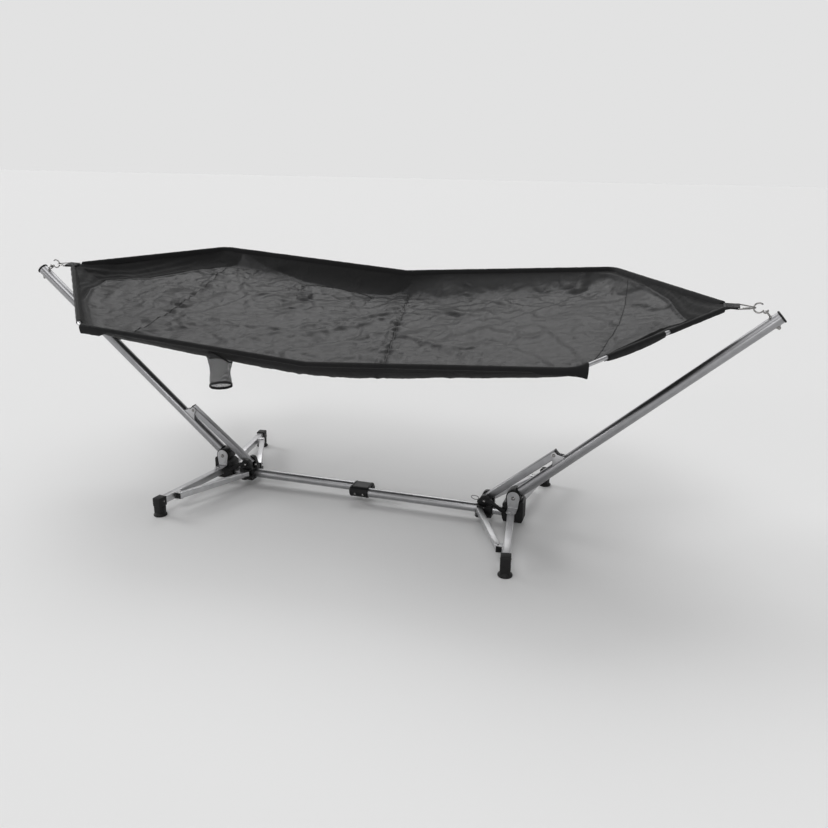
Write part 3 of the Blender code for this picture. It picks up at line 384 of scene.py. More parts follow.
def spin_round(bm, verts, edges, steps):
    bmesh.ops.spin(bm, geom=verts + edges, axis=(0, 0, 1), cent=(0, 0, 0), dvec=(0, 0, 0),
                   angle=2 * pi, steps=steps, use_merge=True)


def add_lathe(bm, profile, matrix=None, steps=48):
    """A profile of (radius, height) turned about Z; closed if it ends on the axis."""
    before = set(bm.verts)
    verts = [bm.verts.new((r, 0.0, z)) for r, z in profile]
    edges = [bm.edges.new(pair) for pair in zip(verts, verts[1:])]
    spin_round(bm, verts, edges, steps)
    grown = [v for v in bm.verts if v not in before]
    bmesh.ops.remove_doubles(bm, verts=grown, dist=1e-6)
    move_all(bm, matrix, [v for v in grown if v.is_valid])


def add_ring(bm, radius, wire, matrix=None, steps=48, sides=14):
    """A round ring about Z."""
    before = set(bm.verts)
    verts = bmesh.ops.create_circle(bm, segments=sides, radius=wire,
                                    matrix=at(radius, 0, 0) @ STANDING)["verts"]
    spin_round(bm, verts, edges_of(verts), steps)
    move_all(bm, matrix, [v for v in bm.verts if v not in before])


def add_block(bm, low, high, rounding=0.0, segments=2, matrix=None):
    """A box from its low to its high corner."""
    low, high = Vector(low), Vector(high)
    verts = bmesh.ops.create_cube(bm, size=1.0)["verts"]
    bmesh.ops.scale(bm, vec=high - low, verts=verts)
    bmesh.ops.translate(bm, vec=(low + high) / 2, verts=verts)
    if rounding:
        verts = round_edges(bm, verts, edges_of(verts), rounding, segments)
    move_all(bm, matrix, verts)


def add_plate(bm, outline, low, high, rounding=0.0, matrix=None, segments=2):
    """An outline in XY raised from z = low to z = high, its two rims rounded."""
    verts = [bm.verts.new((x, y, low)) for x, y in outline]
    face = bm.faces.new(verts)
    face.normal_update()
    up = face.normal.z
    made = bmesh.ops.extrude_face_region(bm, geom=[face], use_keep_orig=True)
    top = [v for v in made["geom"] if isinstance(v, bmesh.types.BMVert)]
    bmesh.ops.translate(bm, vec=(0, 0, high - low), verts=top)
    grown = verts + top
    if up > 0:
        face.normal_flip()
    bmesh.ops.recalc_face_normals(bm, faces=list({f for v in grown for f in v.link_faces}))
    if rounding:
        grown = round_edges(bm, grown, level_edges(grown), rounding, segments, True)
    move_all(bm, matrix, grown)


def arc(cx, cy, radius, start, end, steps):
    points = []
    for step in range(steps + 1):
        angle = radians(start + (end - start) * step / steps)
        points.append((cx + radius * cos(angle), cy + radius * sin(angle)))
    return points


def smooth_path(points, closed=False, rounds=2):
    """Corner cutting, so that a bent wire runs smoothly."""
    points = [Vector(p) for p in points]
    for _ in range(rounds):
        fine = []
        count = len(points)
        for i in range(count if closed else count - 1):
            a, b = points[i], points[(i + 1) % count]
            fine += [a.lerp(b, 0.25), a.lerp(b, 0.75)]
        if not closed:
            fine = [points[0]] + fine[1:-1] + [points[-1]]
        points = fine
    return points


def grow_ring(bm, edges):
    """Extrudes a ring of edges where it lies: its new points and edges."""
    made = bmesh.ops.extrude_edge_only(bm, edges=edges)["geom"]
    ring = [v for v in made if isinstance(v, bmesh.types.BMVert)]
    fresh = set(ring)
    return ring, [e for e in made
                  if isinstance(e, bmesh.types.BMEdge) and fresh.issuperset(e.verts)]


def wire_places(points, closed):
    """Frames along a path, with Z along it and as little turning between them as can be."""
    count = len(points)
    tangents = []
    for i in range(count):
        if closed:
            run = points[(i + 1) % count] - points[i - 1]
        else:
            run = points[min(i + 1, count - 1)] - points[max(i - 1, 0)]
        tangents.append(run.normalized())
    normal = tangents[0].orthogonal().normalized()
    places = []
    for i, tangent in enumerate(tangents):
        if i:
            normal = tangents[i - 1].rotation_difference(tangent) @ normal
        turn = Matrix((normal, tangent.cross(normal), tangent)).transposed()
        places.append(Matrix.Translation(points[i]) @ turn.to_4x4())
    return places


def add_wire(bm, points, radius, sides=16, closed=False):
    """A round wire drawn along points: one ring of edges, extruded from place to place."""
    places = wire_places([Vector(p) for p in points], closed)
    ring = bmesh.ops.create_circle(bm, segments=sides, radius=radius)["verts"]
    first_edges = edges = edges_of(ring)
    bmesh.ops.transform(bm, matrix=places[0], verts=ring)
    for before, after in zip(places, places[1:]):
        ring, edges = grow_ring(bm, edges)
        bmesh.ops.transform(bm, matrix=after @ before.inverted(), verts=ring)
    if closed:
        bmesh.ops.bridge_loops(bm, edges=edges + first_edges)
        return
    for loop, place, way in ((first_edges, places[0], -1), (edges, places[-1], 1)):
        local = place.inverted()
        for share, out in ((0.72, 0.55), (0.30, 0.85)):
            ring, loop = grow_ring(bm, loop)
            for v in ring:
                spot = local @ v.co
                size = hypot(spot.x, spot.y)
                v.co = place @ Vector((spot.x * share * radius / size,
                                       spot.y * share * radius / size, way * out * radius))
        bmesh.ops.edgenet_fill(bm, edges=loop)


def sharpen_cut_edges(mesh):
    """Open edges turn sharp, so that the cloth's thickness doesn't shade its face."""
    uses = [0] * len(mesh.edges)
    for loop in mesh.loops:
        uses[loop.edge_index] += 1
    for edge, used in zip(mesh.edges, uses):
        if used == 1:
            edge.use_edge_sharp = True


def finish_piece(bm, name, materials, matrix, body, stands_for=(), sharp=35, normals=True):
    """Makes the object, with its place in its mesh, and lets it ride on its body.
    Each point's place in the piece's own axes is kept for its material."""
    if normals:
        bmesh.ops.recalc_face_normals(bm, faces=bm.faces[:])
    layer = bm.verts.layers.float_vector.new("own_place")
    for v in bm.verts:
        v[layer] = v.co
    move_all(bm, matrix)
    mesh = bpy.data.meshes.new(name)
    bm.to_mesh(mesh)
    bm.free()
    obj = bpy.data.objects.new(name, mesh)
    bpy.context.scene.collection.objects.link(obj)
    for material in (materials if isinstance(materials, list) else [materials]):
        mesh.materials.append(material)
    mesh.shade_smooth()
    mesh.set_sharp_from_angle(angle=radians(sharp))
    if not normals:
        sharpen_cut_edges(mesh)
    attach(obj, body)
    if stands_for:
        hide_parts(*stands_for)
    return obj


# Frames of the two ends

def end_frame(side):
    if side == "right":
        return at(0, -LANE, 0)
    return at(0, LANE, 0) @ Matrix.Rotation(pi, 4, "Z")


ARM_PLACE = at(HUB_X, 0, HUB_Z) @ Matrix.Rotation(-ARM_ANGLE, 4, "Y")


def run_frame(start, towards, upright=False):
    """A frame at start whose X axis points along the run, flat or in the XZ plane."""
    run = towards - start
    if upright:
        turn = Matrix.Rotation(-atan2(run.z, run.x), 4, "Y")
    else:
        turn = Matrix.Rotation(atan2(run.y, run.x), 4, "Z")
    return Matrix.Translation(start) @ turn, run.length


def add_dome_head(bm, radius, height, matrix, socket=0.0):
    """A low button head, with a small driver recess if socket is given."""
    crown = [(0.0, height)]
    if socket:
        crown = [(0.0, height * 0.35), (socket, height * 0.35), (socket, height * 0.93)]
    profile = crown + [(radius * 0.50, height * 0.95), (radius * 0.74, height * 0.80),
                       (radius * 0.92, height * 0.48), (radius, height * 0.12), (radius, 0.0),
                       (0.0, 0.0)]
    add_lathe(bm, profile, matrix, 32)


def add_hex(bm, across, height, matrix):
    """A hexagon nut or head."""
    verts = bmesh.ops.create_cone(bm, cap_ends=True, segments=6, radius1=across / sqrt(3),
                                  radius2=across / sqrt(3), depth=height)["verts"]
    verts = round_edges(bm, verts, edges_of(verts), 0.0005)
    move_all(bm, matrix @ at(0, 0, height / 2), verts)


# Rail and coupler

def make_rail(side):
    bm = bmesh.new()
    place = at(0, 0, RAIL_Z) @ X_AXIS
    add_rod(bm, RAIL_R, -COUPLER_HALF + 0.0043, HUB_X - HUB_INNER + 0.0202, place, 72, 0.0006)
    finish_piece(bm, f"rail_tube_{side}", ALUMINIUM, end_frame(side), "frame", [f"rail_{side}"])


COUPLER_WALL = 0.0035


def make_coupler():
    """Two lobes round the two rail tubes, with ribs, end plugs and bolts."""
    bm = bmesh.new()
    lobe = RAIL_R + COUPLER_WALL
    outline = arc(LANE, 0, lobe, -118, 100, 26) + arc(-LANE, 0, lobe, 80, 298, 26)
    turn = at(0, 0, RAIL_Z) @ ACROSS_X
    add_plate(bm, outline, -COUPLER_HALF + 0.0004, COUPLER_HALF - 0.0004, 0.0016, turn, 3)
    rib = lobe + 0.0009
    band = arc(LANE, 0, rib, -108, 90, 26) + arc(-LANE, 0, rib, 90, 288, 26)
    for x in (-COUPLER_HALF + 0.006, COUPLER_HALF - 0.006):
        add_plate(bm, band, -0.0022, 0.0022, 0.0007, at(x, 0, 0) @ turn)
    for way in (1, -1):
        plug = facing((way, 0, 0), (way * (COUPLER_HALF - 0.001), way * LANE, RAIL_Z))
        add_lathe(bm, [(0.0, 0.0022), (RAIL_R * 0.5, 0.0022), (RAIL_R * 0.55, 0.0034),
                       (RAIL_R - 0.0014, 0.0034), (RAIL_R, 0.0022), (RAIL_R, -0.002),
                       (0.0, -0.002)], plug)
    finish_piece(bm, "rail_joint_cover", BLACK, None, "frame", ["rail_coupler"])
    bm = bmesh.new()
    lift = radians(-14)
    for way in (1, -1):
        out = Vector((0, way * cos(lift), sin(lift)))
        for x in (-0.018, 0.014):
            seat = Vector((way * x, way * LANE, RAIL_Z)) + out * (lobe - 0.0006)
            add_dome_head(bm, 0.0046, 0.0028, facing(out, seat), 0.0016)
    finish_piece(bm, "rail_joint_bolts", STEEL, None, "frame")


# Hub

PIVOT_R = 0.004
BEAD_R = 0.0012


def hub_outline():
    x0 = HUB_X - HUB_INNER
    x1 = HUB_X + HUB_OUTER
    saddle = arc(HUB_X, HUB_Z, 0.0288, -20, -145, 22)
    foot = arc(x1 - 0.010, HUB_FLOOR + 0.010, 0.010, -70, 0, 6)
    return ([(x0, 0.026), (x0 + 0.006, HUB_FLOOR)] + foot + [(x1, 0.090), (x1 - 0.003, 0.0970)]
            + saddle + [(x0 + 0.008, 0.0870), (x0, 0.0800)])


def make_hub(side):
    bm = bmesh.new()
    add_plate(bm, hub_outline(), -HUB_HALF, HUB_HALF, 0.0015, STANDING, 3)
    x1 = HUB_X + HUB_OUTER
    x0 = HUB_X - HUB_INNER
    for y in (-0.0215, -0.0072, 0.0072, 0.0215):
        add_block(bm, (x1 - 0.004, y - 0.0011, HUB_FLOOR + 0.014), (x1 + 0.0008, y + 0.0011, 0.086),
                  0.0006)
    for z in (HUB_FLOOR + 0.0125, 0.0865):
        add_block(bm, (x1 - 0.004, -0.0226, z - 0.0012), (x1 + 0.0008, 0.0226, z + 0.0012), 0.0006)
    collar = at(x0, 0, RAIL_Z) @ X_AXIS
    add_lathe(bm, [(RAIL_R + 0.0003, -0.0035), (RAIL_R + 0.0032, -0.0035),
                   (RAIL_R + 0.0042, -0.0022), (RAIL_R + 0.0042, 0.004),
                   (RAIL_R + 0.0003, 0.004)], collar, 56)
    panel = [(x0 + 0.005, 0.030), (x0 + 0.012, HUB_FLOOR + 0.007),
             (x1 - 0.010, HUB_FLOOR + 0.007), (x1 - 0.005, HUB_FLOOR + 0.013),
             (x1 - 0.005, 0.058), (x0 + 0.005, 0.058)]
    for sy in (1, -1):
        y = sy * (HUB_HALF - 0.0006)
        add_wire(bm, smooth_path([(x, y, z) for x, z in panel], True), 0.0009, 8, True)
    finish_piece(bm, f"hub_housing_{side}", BLACK, end_frame(side), "frame", [f"hub_block_{side}"])
    bm = bmesh.new()
    end = HUB_HALF + 0.003
    add_rod(bm, PIVOT_R, -end, end, at(HUB_X, 0, HUB_Z) @ Y_AXIS)
    for sy in (1, -1):
        seat = HUB_HALF + GAP + CHEEK_THICK + GAP
        head = facing((0, sy, 0), (HUB_X, sy * seat, HUB_Z))
        add_lathe(bm, [(0.0, 0.0009), (0.0078, 0.0009), (0.0078, 0.0), (0.0, 0.0)], head)
        add_dome_head(bm, 0.0066, 0.0040, head, 0.0021)
    finish_piece(bm, f"arm_pivot_{side}", STEEL, end_frame(side), "frame",
                 [f"arm_pivot_bolt_{side}"])


def make_cheek(side, depth, sy):
    """Grey sheet folded into a tab over the leg, with a pressed bead and two rivets."""
    y = sy * (HUB_HALF + GAP + CHEEK_THICK / 2)
    z = TAB_Z + CHEEK_THICK / 2
    bm = bmesh.new()
    bend = [bm.verts.new((HUB_X + s * TAB_R, y, z)) for s in (1, -1)]
    top = [bm.verts.new((x, y, h)) for x, h in arc(HUB_X, HUB_Z, CHEEK_R, -15, 195, 28)]
    tip = [bm.verts.new((x, sy * v, z)) for x, v in arc(HUB_X, LEG_PIVOT_Y, TAB_R, 0, 180, 24)]
    bm.faces.new([bend[0]] + top + [bend[1]])
    bm.faces.new([bend[1]] + tip[::-1] + [bend[0]])
    fold = [e for e in bend[0].link_edges if e.other_vert(bend[0]) is bend[1]]
    bmesh.ops.bevel(bm, geom=fold, offset=0.0032, segments=5, profile=0.5, affect="EDGES",
                    material=-1)
    bmesh.ops.recalc_face_normals(bm, faces=bm.faces[:])
    bmesh.ops.solidify(bm, geom=bm.faces[:], thickness=CHEEK_THICK)
    shift = (HUB_HALF + GAP) - min(abs(v.co.y) for v in bm.verts)
    low_z = min(v.co.z for v in bm.verts)
    bmesh.ops.translate(bm, vec=(0, sy * shift, TAB_Z - low_z), verts=bm.verts[:])
    outside = sy * (HUB_HALF + GAP + CHEEK_THICK)
    bead = smooth_path([(HUB_X + 0.0115, outside, 0.078), (HUB_X + 0.0125, outside, 0.090),
                        (HUB_X + 0.0140, outside, 0.100), (HUB_X + 0.0140, outside, 0.108)])
    for line in (bead, [(2 * HUB_X - p.x, p.y, p.z) for p in bead]):
        add_wire(bm, line, BEAD_R, 10)
    deck = TAB_Z + CHEEK_THICK
    under = TAB_Z - GAP - SQUARE - GAP
    pivot_y = sy * LEG_PIVOT_Y
    add_dome_head(bm, 0.0070, 0.0026, facing((0, 0, 1), (HUB_X, pivot_y, deck - 0.0002)))
    add_ring(bm, 0.0095, 0.0007, at(HUB_X, pivot_y, deck), 40, 8)
    add_dome_head(bm, 0.0070, 0.0022, facing((0, 0, -1), (HUB_X, pivot_y, under)))
    add_rod(bm, PIVOT_R, under, TAB_Z, at(HUB_X, pivot_y, 0), 24)
    name = f"hub_cheek_plate_{depth}_{side}"
    obj = finish_piece(bm, name, SHEET, end_frame(side), "frame", [f"hub_cheek_{depth}_{side}"])
    edge = obj.modifiers.new("Rounded edge", "BEVEL")
    edge.width = 0.0004
    edge.segments = 2
    edge.limit_method = "ANGLE"
    edge.angle_limit = radians(50)


# Arm

def make_arm(side):
    place = end_frame(side) @ ARM_PLACE
    body = f"arm_{side}"
    bm = bmesh.new()
    add_rod(bm, ARM_R, SOCKET_R + GAP, ARM_LENGTH - CAP_THICK, X_AXIS, 80, 0.0005)
    # The arm pole takes the darker aluminium, whose extra darkness is painted shade.
    finish_piece(bm, f"arm_pole_{side}", ARM_ALUMINIUM_PAINTED_SHADE, place, body, [f"arm_tube_{side}"])
    bm = bmesh.new()
    face = ARM_LENGTH
    profile = [(0.0, face - 0.0016), (0.0120, face - 0.0016), (0.0132, face - 0.0002),
               (0.0185, face), (0.0207, face - 0.0007), (0.0215, face - 0.0020),
               (0.0215, face - 0.0046), (0.0208, face - 0.0057), (0.0192, face - 0.0060),
               (0.0, face - 0.0060)]
    add_lathe(bm, profile, X_AXIS, 64)
    finish_piece(bm, f"arm_end_cap_{side}", BLACK, place, body, [f"arm_cap_{side}"])
    make_socket(side, place, body)
    make_eye(side, place, body)
    make_bracket(side, place, body)


def make_socket(side, place, body):
    """A black eye between the hub's cheeks, with a ribbed neck that plugs into the arm."""
    bm = bmesh.new()
    add_rod(bm, SOCKET_R, -HUB_HALF, HUB_HALF, Y_AXIS, 64, 0.0016)
    neck = [(ARM_R + 0.0015, SOCKET_R - 0.0003), (ARM_R + 0.0015, SOCKET_R - 0.0030),
            (ARM_R + 0.0004, SOCKET_R - 0.0045), (ARM_R + 0.0004, SOCKET_R - 0.0075),
            (ARM_R + 0.0015, SOCKET_R - 0.0090), (ARM_R + 0.0015, 0.010), (0.0, 0.010)]
    add_lathe(bm, [(0.0, SOCKET_R - 0.0003)] + neck, X_AXIS, 64)
    for angle in range(60, 301, 20):
        rib = Matrix.Rotation(radians(-angle), 4, "Y")
        add_block(bm, (SOCKET_R - 0.002, -0.0235, -0.0008), (SOCKET_R + 0.0007, 0.0235, 0.0008),
                  0.0005, 1, rib)
    finish_piece(bm, f"arm_knuckle_{side}", BLACK, place, body, [f"arm_socket_{side}"])


EYE_HEIGHT = ARM_R + EYE_RING_R + EYE_WIRE_R + 0.0012


def make_eye(side, place, body):
    """Eye bolt through the arm: ring, collar, washer, nut and thread end."""
    along = ARM_LENGTH - EYE_BACK
    bm = bmesh.new()
    add_ring(bm, EYE_RING_R, EYE_WIRE_R, at(along, 0, EYE_HEIGHT) @ X_AXIS, 56, 18)
    add_lathe(bm, [(0.0, EYE_HEIGHT - EYE_RING_R + 0.0006), (0.0029, EYE_HEIGHT - EYE_RING_R),
                   (0.0036, ARM_R + 0.0026), (0.0056, ARM_R + 0.0016), (0.0060, ARM_R + 0.0009),
                   (0.0060, ARM_R - 0.0012), (0.0, ARM_R - 0.0012)],
              at(along, 0, 0), 40)
    down = facing((0, 0, -1), (along, 0, -ARM_R + 0.0004))
    add_lathe(bm, [(0.0, 0.0018), (0.0084, 0.0018), (0.0088, 0.0012), (0.0088, -0.001),
                   (0.0, -0.001)], down, 40)
    add_hex(bm, 0.0105, 0.0044, down @ at(0, 0, 0.0018))
    add_dome_head(bm, 0.0050, 0.0046, down @ at(0, 0, 0.0060))
    finish_piece(bm, f"eye_bolt_ring_{side}", STEEL, place, body, [f"eye_bolt_{side}"])
    make_hook(side)


def eye_spot():
    return ARM_PLACE @ Vector((ARM_LENGTH - EYE_BACK, 0, EYE_HEIGHT))


def hook_turns():
    """Centres of the hook's small and large turns, in the end's frame."""
    eye = eye_spot()
    angle = ARM_ANGLE + pi / 2
    lean = radians(158)
    slack = HOOK_SMALL_R - HOOK_WIRE_R - EYE_WIRE_R - GAP
    small = (eye.x + EYE_RING_R * cos(angle) + slack * cos(lean),
             eye.z + EYE_RING_R * sin(angle) + slack * sin(lean))
    reach = HOOK_SMALL_R + HOOK_BIG_R
    return small, (small[0] + reach * cos(lean), small[1] + reach * sin(lean))


def make_hook(side):
    small, big = hook_turns()
    inner = arc(*small, HOOK_SMALL_R, 380, 158, 26)
    outer = arc(*big, HOOK_BIG_R, -22, -22 - 285, 52)
    line = [(x, 0, z) for x, z in inner + outer[1:]]
    bm = bmesh.new()
    add_wire(bm, line, HOOK_WIRE_R, 18)
    finish_piece(bm, f"hanging_hook_{side}", STEEL, end_frame(side), f"arm_{side}",
                 [f"s_hook_{side}"])


def make_bracket(side, place, body):
    """Saddle riveted to the arm, with two rounded ears that carry the strut."""
    inner = SQUARE / 2 + 0.0004
    thick = 0.0020
    seat = ARM_R * 0.72
    ears = arc(STRUT_ALONG, STRUT_OFFSET, 0.0110, -15, 195, 20)
    outline = [(STRUT_ALONG + 0.028, seat)] + ears + [(STRUT_ALONG - 0.028, seat)]
    bm = bmesh.new()
    for sy in (1, -1):
        mid = sy * (inner + thick / 2)
        add_plate(bm, outline, -thick / 2, thick / 2, 0.0004,
                  at(0, mid, 0) @ STANDING)
    saddle = arc(0, 0, ARM_R + 0.0004, 45, 135, 14) + arc(0, 0, ARM_R + 0.0024, 135, 45, 14)
    along = at(STRUT_ALONG, 0, 0) @ ACROSS_X
    add_plate(bm, [(-x, y) for x, y in saddle][::-1], -0.0276, 0.0276, 0.0004, along)
    for x in (-0.019, 0.019):
        add_dome_head(bm, 0.0038, 0.0020, facing((0, 0, 1), (STRUT_ALONG + x, 0, ARM_R + 0.0022)))
    finish_piece(bm, f"strut_bracket_plate_{side}", SHEET, place, body, [f"strut_bracket_{side}"])
    bm = bmesh.new()
    add_rod(bm, 0.003, -inner - thick, inner + thick,
            at(STRUT_ALONG, 0, STRUT_OFFSET) @ Y_AXIS, 24)
    for sy in (1, -1):
        head = facing((0, sy, 0), (STRUT_ALONG, sy * (inner + thick - 0.0001), STRUT_OFFSET))
        add_lathe(bm, [(0.0, 0.0008), (0.0064, 0.0008), (0.0064, 0.0), (0.0, 0.0)], head)
        add_dome_head(bm, 0.0056, 0.0029, head, 0.0019)
    finish_piece(bm, f"strut_top_rivet_{side}", STEEL, place, body)


# Strut

def square_section(size, rounding, steps=4):
    half = size / 2 - rounding
    points = []
    for corner, (sx, sy) in enumerate(((1, 1), (-1, 1), (-1, -1), (1, -1))):
        points += arc(sx * half, sy * half, rounding, 90 * corner, 90 * corner + 90, steps)
    return points


def add_square_bar(bm, size, start, end, rounding=0.0026):
    """A square bar along X with rounded corners, its ends closed."""
    add_plate(bm, square_section(size, rounding), start, end, 0.0003, X_AXIS)


def make_strut(side):
    top = ARM_PLACE @ Vector((STRUT_ALONG, 0, STRUT_OFFSET))
    local, length = run_frame(top, Vector((SLIDER_X, 0, SLIDER_BOLT_Z)), True)
    place = end_frame(side) @ local
    body = f"strut_{side}"
    bm = bmesh.new()
    add_square_bar(bm, SQUARE, -0.010, length + 0.011)
    # The strut takes the darker aluminium, whose extra darkness is painted shade.
    finish_piece(bm, f"strut_bar_{side}", ARM_ALUMINIUM_PAINTED_SHADE, place, body, [f"strut_{side}"])
    bm = bmesh.new()
    half = SQUARE / 2
    add_block(bm, (-0.0143, -half, -half), (-0.0102, half, half), 0.0016, 3)
    add_block(bm, (-0.0150, -half * 0.6, -half * 0.6), (-0.0135, half * 0.6, half * 0.6), 0.0006)
    finish_piece(bm, f"strut_end_plug_{side}", BLACK, place, body, [f"strut_cap_{side}"])


# Slider

SLIDER_LOW = 0.0185
SLIDER_TOP = 0.066


def ear_outline(sy):
    """The slider's ear that carries a brace."""
    tip = arc(BRACE_PIVOT_X, BRACE_PIVOT_Y, 0.0165, 0, 180, 22)
    root = SLIDER_Y - 0.004
    points = [(SLIDER_HALF - 0.001, root)] + tip + [(-SLIDER_HALF - 0.006, root)]
    return [(x, sy * y) for x, y in points][::sy]


def make_slider(side):
    near = -WAY[side]
    place = end_frame(side) @ at(SLIDER_X, 0, 0)
    body = f"slider_{side}"
    leg_low = TAB_Z - GAP - SQUARE / 2 - BRACE_SQUARE / 2
    leg_high = leg_low + BRACE_SQUARE
    inner = SQUARE / 2 + 0.0004
    bm = bmesh.new()
    hollow = RAIL_R + 0.0004
    core = square_section(2 * SLIDER_Y, 0.0045, 5)
    shell = [(y, (z / SLIDER_Y) * (SLIDER_TOP - SLIDER_LOW) / 2 + (SLIDER_TOP + SLIDER_LOW) / 2
              - RAIL_Z) for y, z in core]
    along = at(0, 0, RAIL_Z) @ ACROSS_X
    add_plate(bm, shell, -SLIDER_HALF, SLIDER_HALF, 0.0012, along)
    for way in (1, -1):
        mouth = facing((way, 0, 0), (way * (SLIDER_HALF - 0.0006), 0, RAIL_Z))
        add_lathe(bm, [(hollow, 0.0022), (hollow + 0.0022, 0.0022), (hollow + 0.0034, 0.0012),
                       (hollow + 0.0034, -0.002), (hollow, -0.002)], mouth, 56)
    front = SLIDER_HALF - 0.0006
    cheek = ([(front, 0.060), (front, SLIDER_BOLT_Z - 0.004)]
             + arc(front - 0.004, SLIDER_BOLT_Z - 0.004, 0.004, 0, 30, 4)
             + arc(0, SLIDER_BOLT_Z, 0.0185, 24, 156, 18)
             + [(-SLIDER_HALF + 0.004, 0.070), (-SLIDER_HALF + 0.002, 0.060)])
    thick = (SLIDER_Y - 0.001 - inner) / 2
    for sy in (1, -1):
        mid = sy * (inner + thick)
        add_plate(bm, cheek, -thick, thick, 0.0014, at(0, mid, 0) @ STANDING, 3)
        boss = facing((0, sy, 0), (0, sy * (SLIDER_Y - 0.0012), SLIDER_BOLT_Z))
        if sy != near:
            add_lathe(bm, [(0.0085, 0.0011), (0.0100, 0.0011), (0.0107, 0.0), (0.0085, 0.0)], boss)
        add_plate(bm, ear_outline(sy), -0.004, 0.004, 0.0012,
                  at(0, 0, leg_low - GAP - 0.004))
        low, high = sorted((sy * 0.031, sy * (SLIDER_Y + 0.008)))
        for x in (-0.0285, 0.0195):
            add_block(bm, (x, low, 0.0225), (x + 0.003, high, 0.036), 0.0006)
        low, high = sorted((sy * 0.029, sy * 0.046))
        add_block(bm, (-0.024, low, leg_high + GAP), (0.010, high, leg_high + GAP + 0.003), 0.0008)
    add_lathe(bm, [(0.0031, 0.0710), (0.0056, 0.0710), (0.0065, 0.0702), (0.0065, 0.0690),
                   (0.0078, 0.0676), (0.0078, 0.062), (0.0, 0.062)],
              at(PIN_X, 0, 0), 40)
    finish_piece(bm, f"slider_body_{side}", BLACK, place, body, [f"slider_{side}"])
    bm = bmesh.new()
    underside = leg_low - GAP - 0.008
    for sy in (1, -1):
        out = (0, sy, 0)
        if sy != near:
            bolt = facing(out, (0, sy * (SLIDER_Y - 0.0010), SLIDER_BOLT_Z))
            add_dome_head(bm, 0.0052, 0.0028, bolt, 0.0018)
        screw = facing(out, (-0.002, sy * (SLIDER_Y - 0.0002), 0.0556))
        add_dome_head(bm, 0.0036, 0.0022, screw, 0.0013)
        rivet = facing((0, 0, -1), (BRACE_PIVOT_X, sy * BRACE_PIVOT_Y, underside))
        add_dome_head(bm, 0.0046, 0.0016, rivet)
    finish_piece(bm, f"slider_screws_{side}", STEEL, place, body)


PULL_RING_R = 0.0150
PULL_RING_TILT = radians(12)
PULL_RING_Z = 0.0752
PULL_WIRE_R = 0.0011


def make_pin(side):
    place = end_frame(side) @ at(SLIDER_X + PIN_X, 0, 0)
    body = f"pull_pin_{side}"
    bm = bmesh.new()
    add_lathe(bm, [(0.0, 0.0782), (0.0030, 0.0782), (0.0043, 0.0774), (0.0045, 0.0762),
                   (0.0045, 0.0732), (0.0038, 0.0725), (0.0030, 0.0722), (0.0030, 0.0598),
                   (0.0022, 0.0588), (0.0, 0.0588)], None, 32)
    finish_piece(bm, f"pull_pin_shaft_{side}", STEEL, place, body, [f"pull_pin_{side}"])
    bm = bmesh.new()
    centre = at(-PULL_RING_R * cos(PULL_RING_TILT), 0,
                PULL_RING_Z + PULL_RING_R * sin(PULL_RING_TILT))
    add_ring(bm, PULL_RING_R, PULL_WIRE_R, centre @ Matrix.Rotation(PULL_RING_TILT, 4, "Y"),
             64, 12)
    finish_piece(bm, f"pull_pin_ring_{side}", DARK_WIRE, place, body, [f"pull_ring_{side}"])


def make_latch(side):
    near = -WAY[side]
    place = end_frame(side) @ at(SLIDER_X, 0, SLIDER_BOLT_Z)
    tip = (0.0765, -0.030)
    outline = (arc(0, 0, 0.0085, 90, 270, 18)
               + [(0.022, -0.0085), (tip[0] - 0.016, tip[1] - 0.0035)]
               + arc(tip[0] - 0.006, tip[1] - 0.001, 0.006, 230, 360, 8)
               + [(tip[0], tip[1] + 0.010), (tip[0] - 0.012, tip[1] + 0.011), (0.027, 0.0055)])
    inner = SLIDER_Y + GAP
    bm = bmesh.new()
    thick = 0.0035
    add_plate(bm, outline, -thick / 2, thick / 2, 0.0007,
              at(0, near * (inner + thick / 2), 0) @ STANDING)
    edge = [(x, near * (inner + 0.0034), z) for x, z in
            [(0.004, 0.0035), (0.026, 0.0030), (tip[0] - 0.014, tip[1] + 0.008)]]
    add_wire(bm, smooth_path(edge, False, 2), 0.0009, 8)
    finish_piece(bm, f"latch_lever_{side}", BLACK, place, f"latch_{side}", [f"latch_{side}"])
    bm = bmesh.new()
    add_dome_head(bm, 0.0050, 0.0028, facing((0, near, 0), (0, near * (inner + 0.0034), 0)), 0.0018)
    finish_piece(bm, f"latch_screw_{side}", STEEL, place, f"latch_{side}")


# Legs, feet and braces

def leg_points(sy):
    middle = TAB_Z - GAP - SQUARE / 2
    return (Vector((HUB_X, sy * LEG_PIVOT_Y, middle)), Vector((FOOT_X, sy * FOOT_Y, middle)),
            Vector((BRACE_RIVET_X, sy * BRACE_RIVET_Y, middle)),
            Vector((SLIDER_X + BRACE_PIVOT_X, sy * BRACE_PIVOT_Y, middle)))


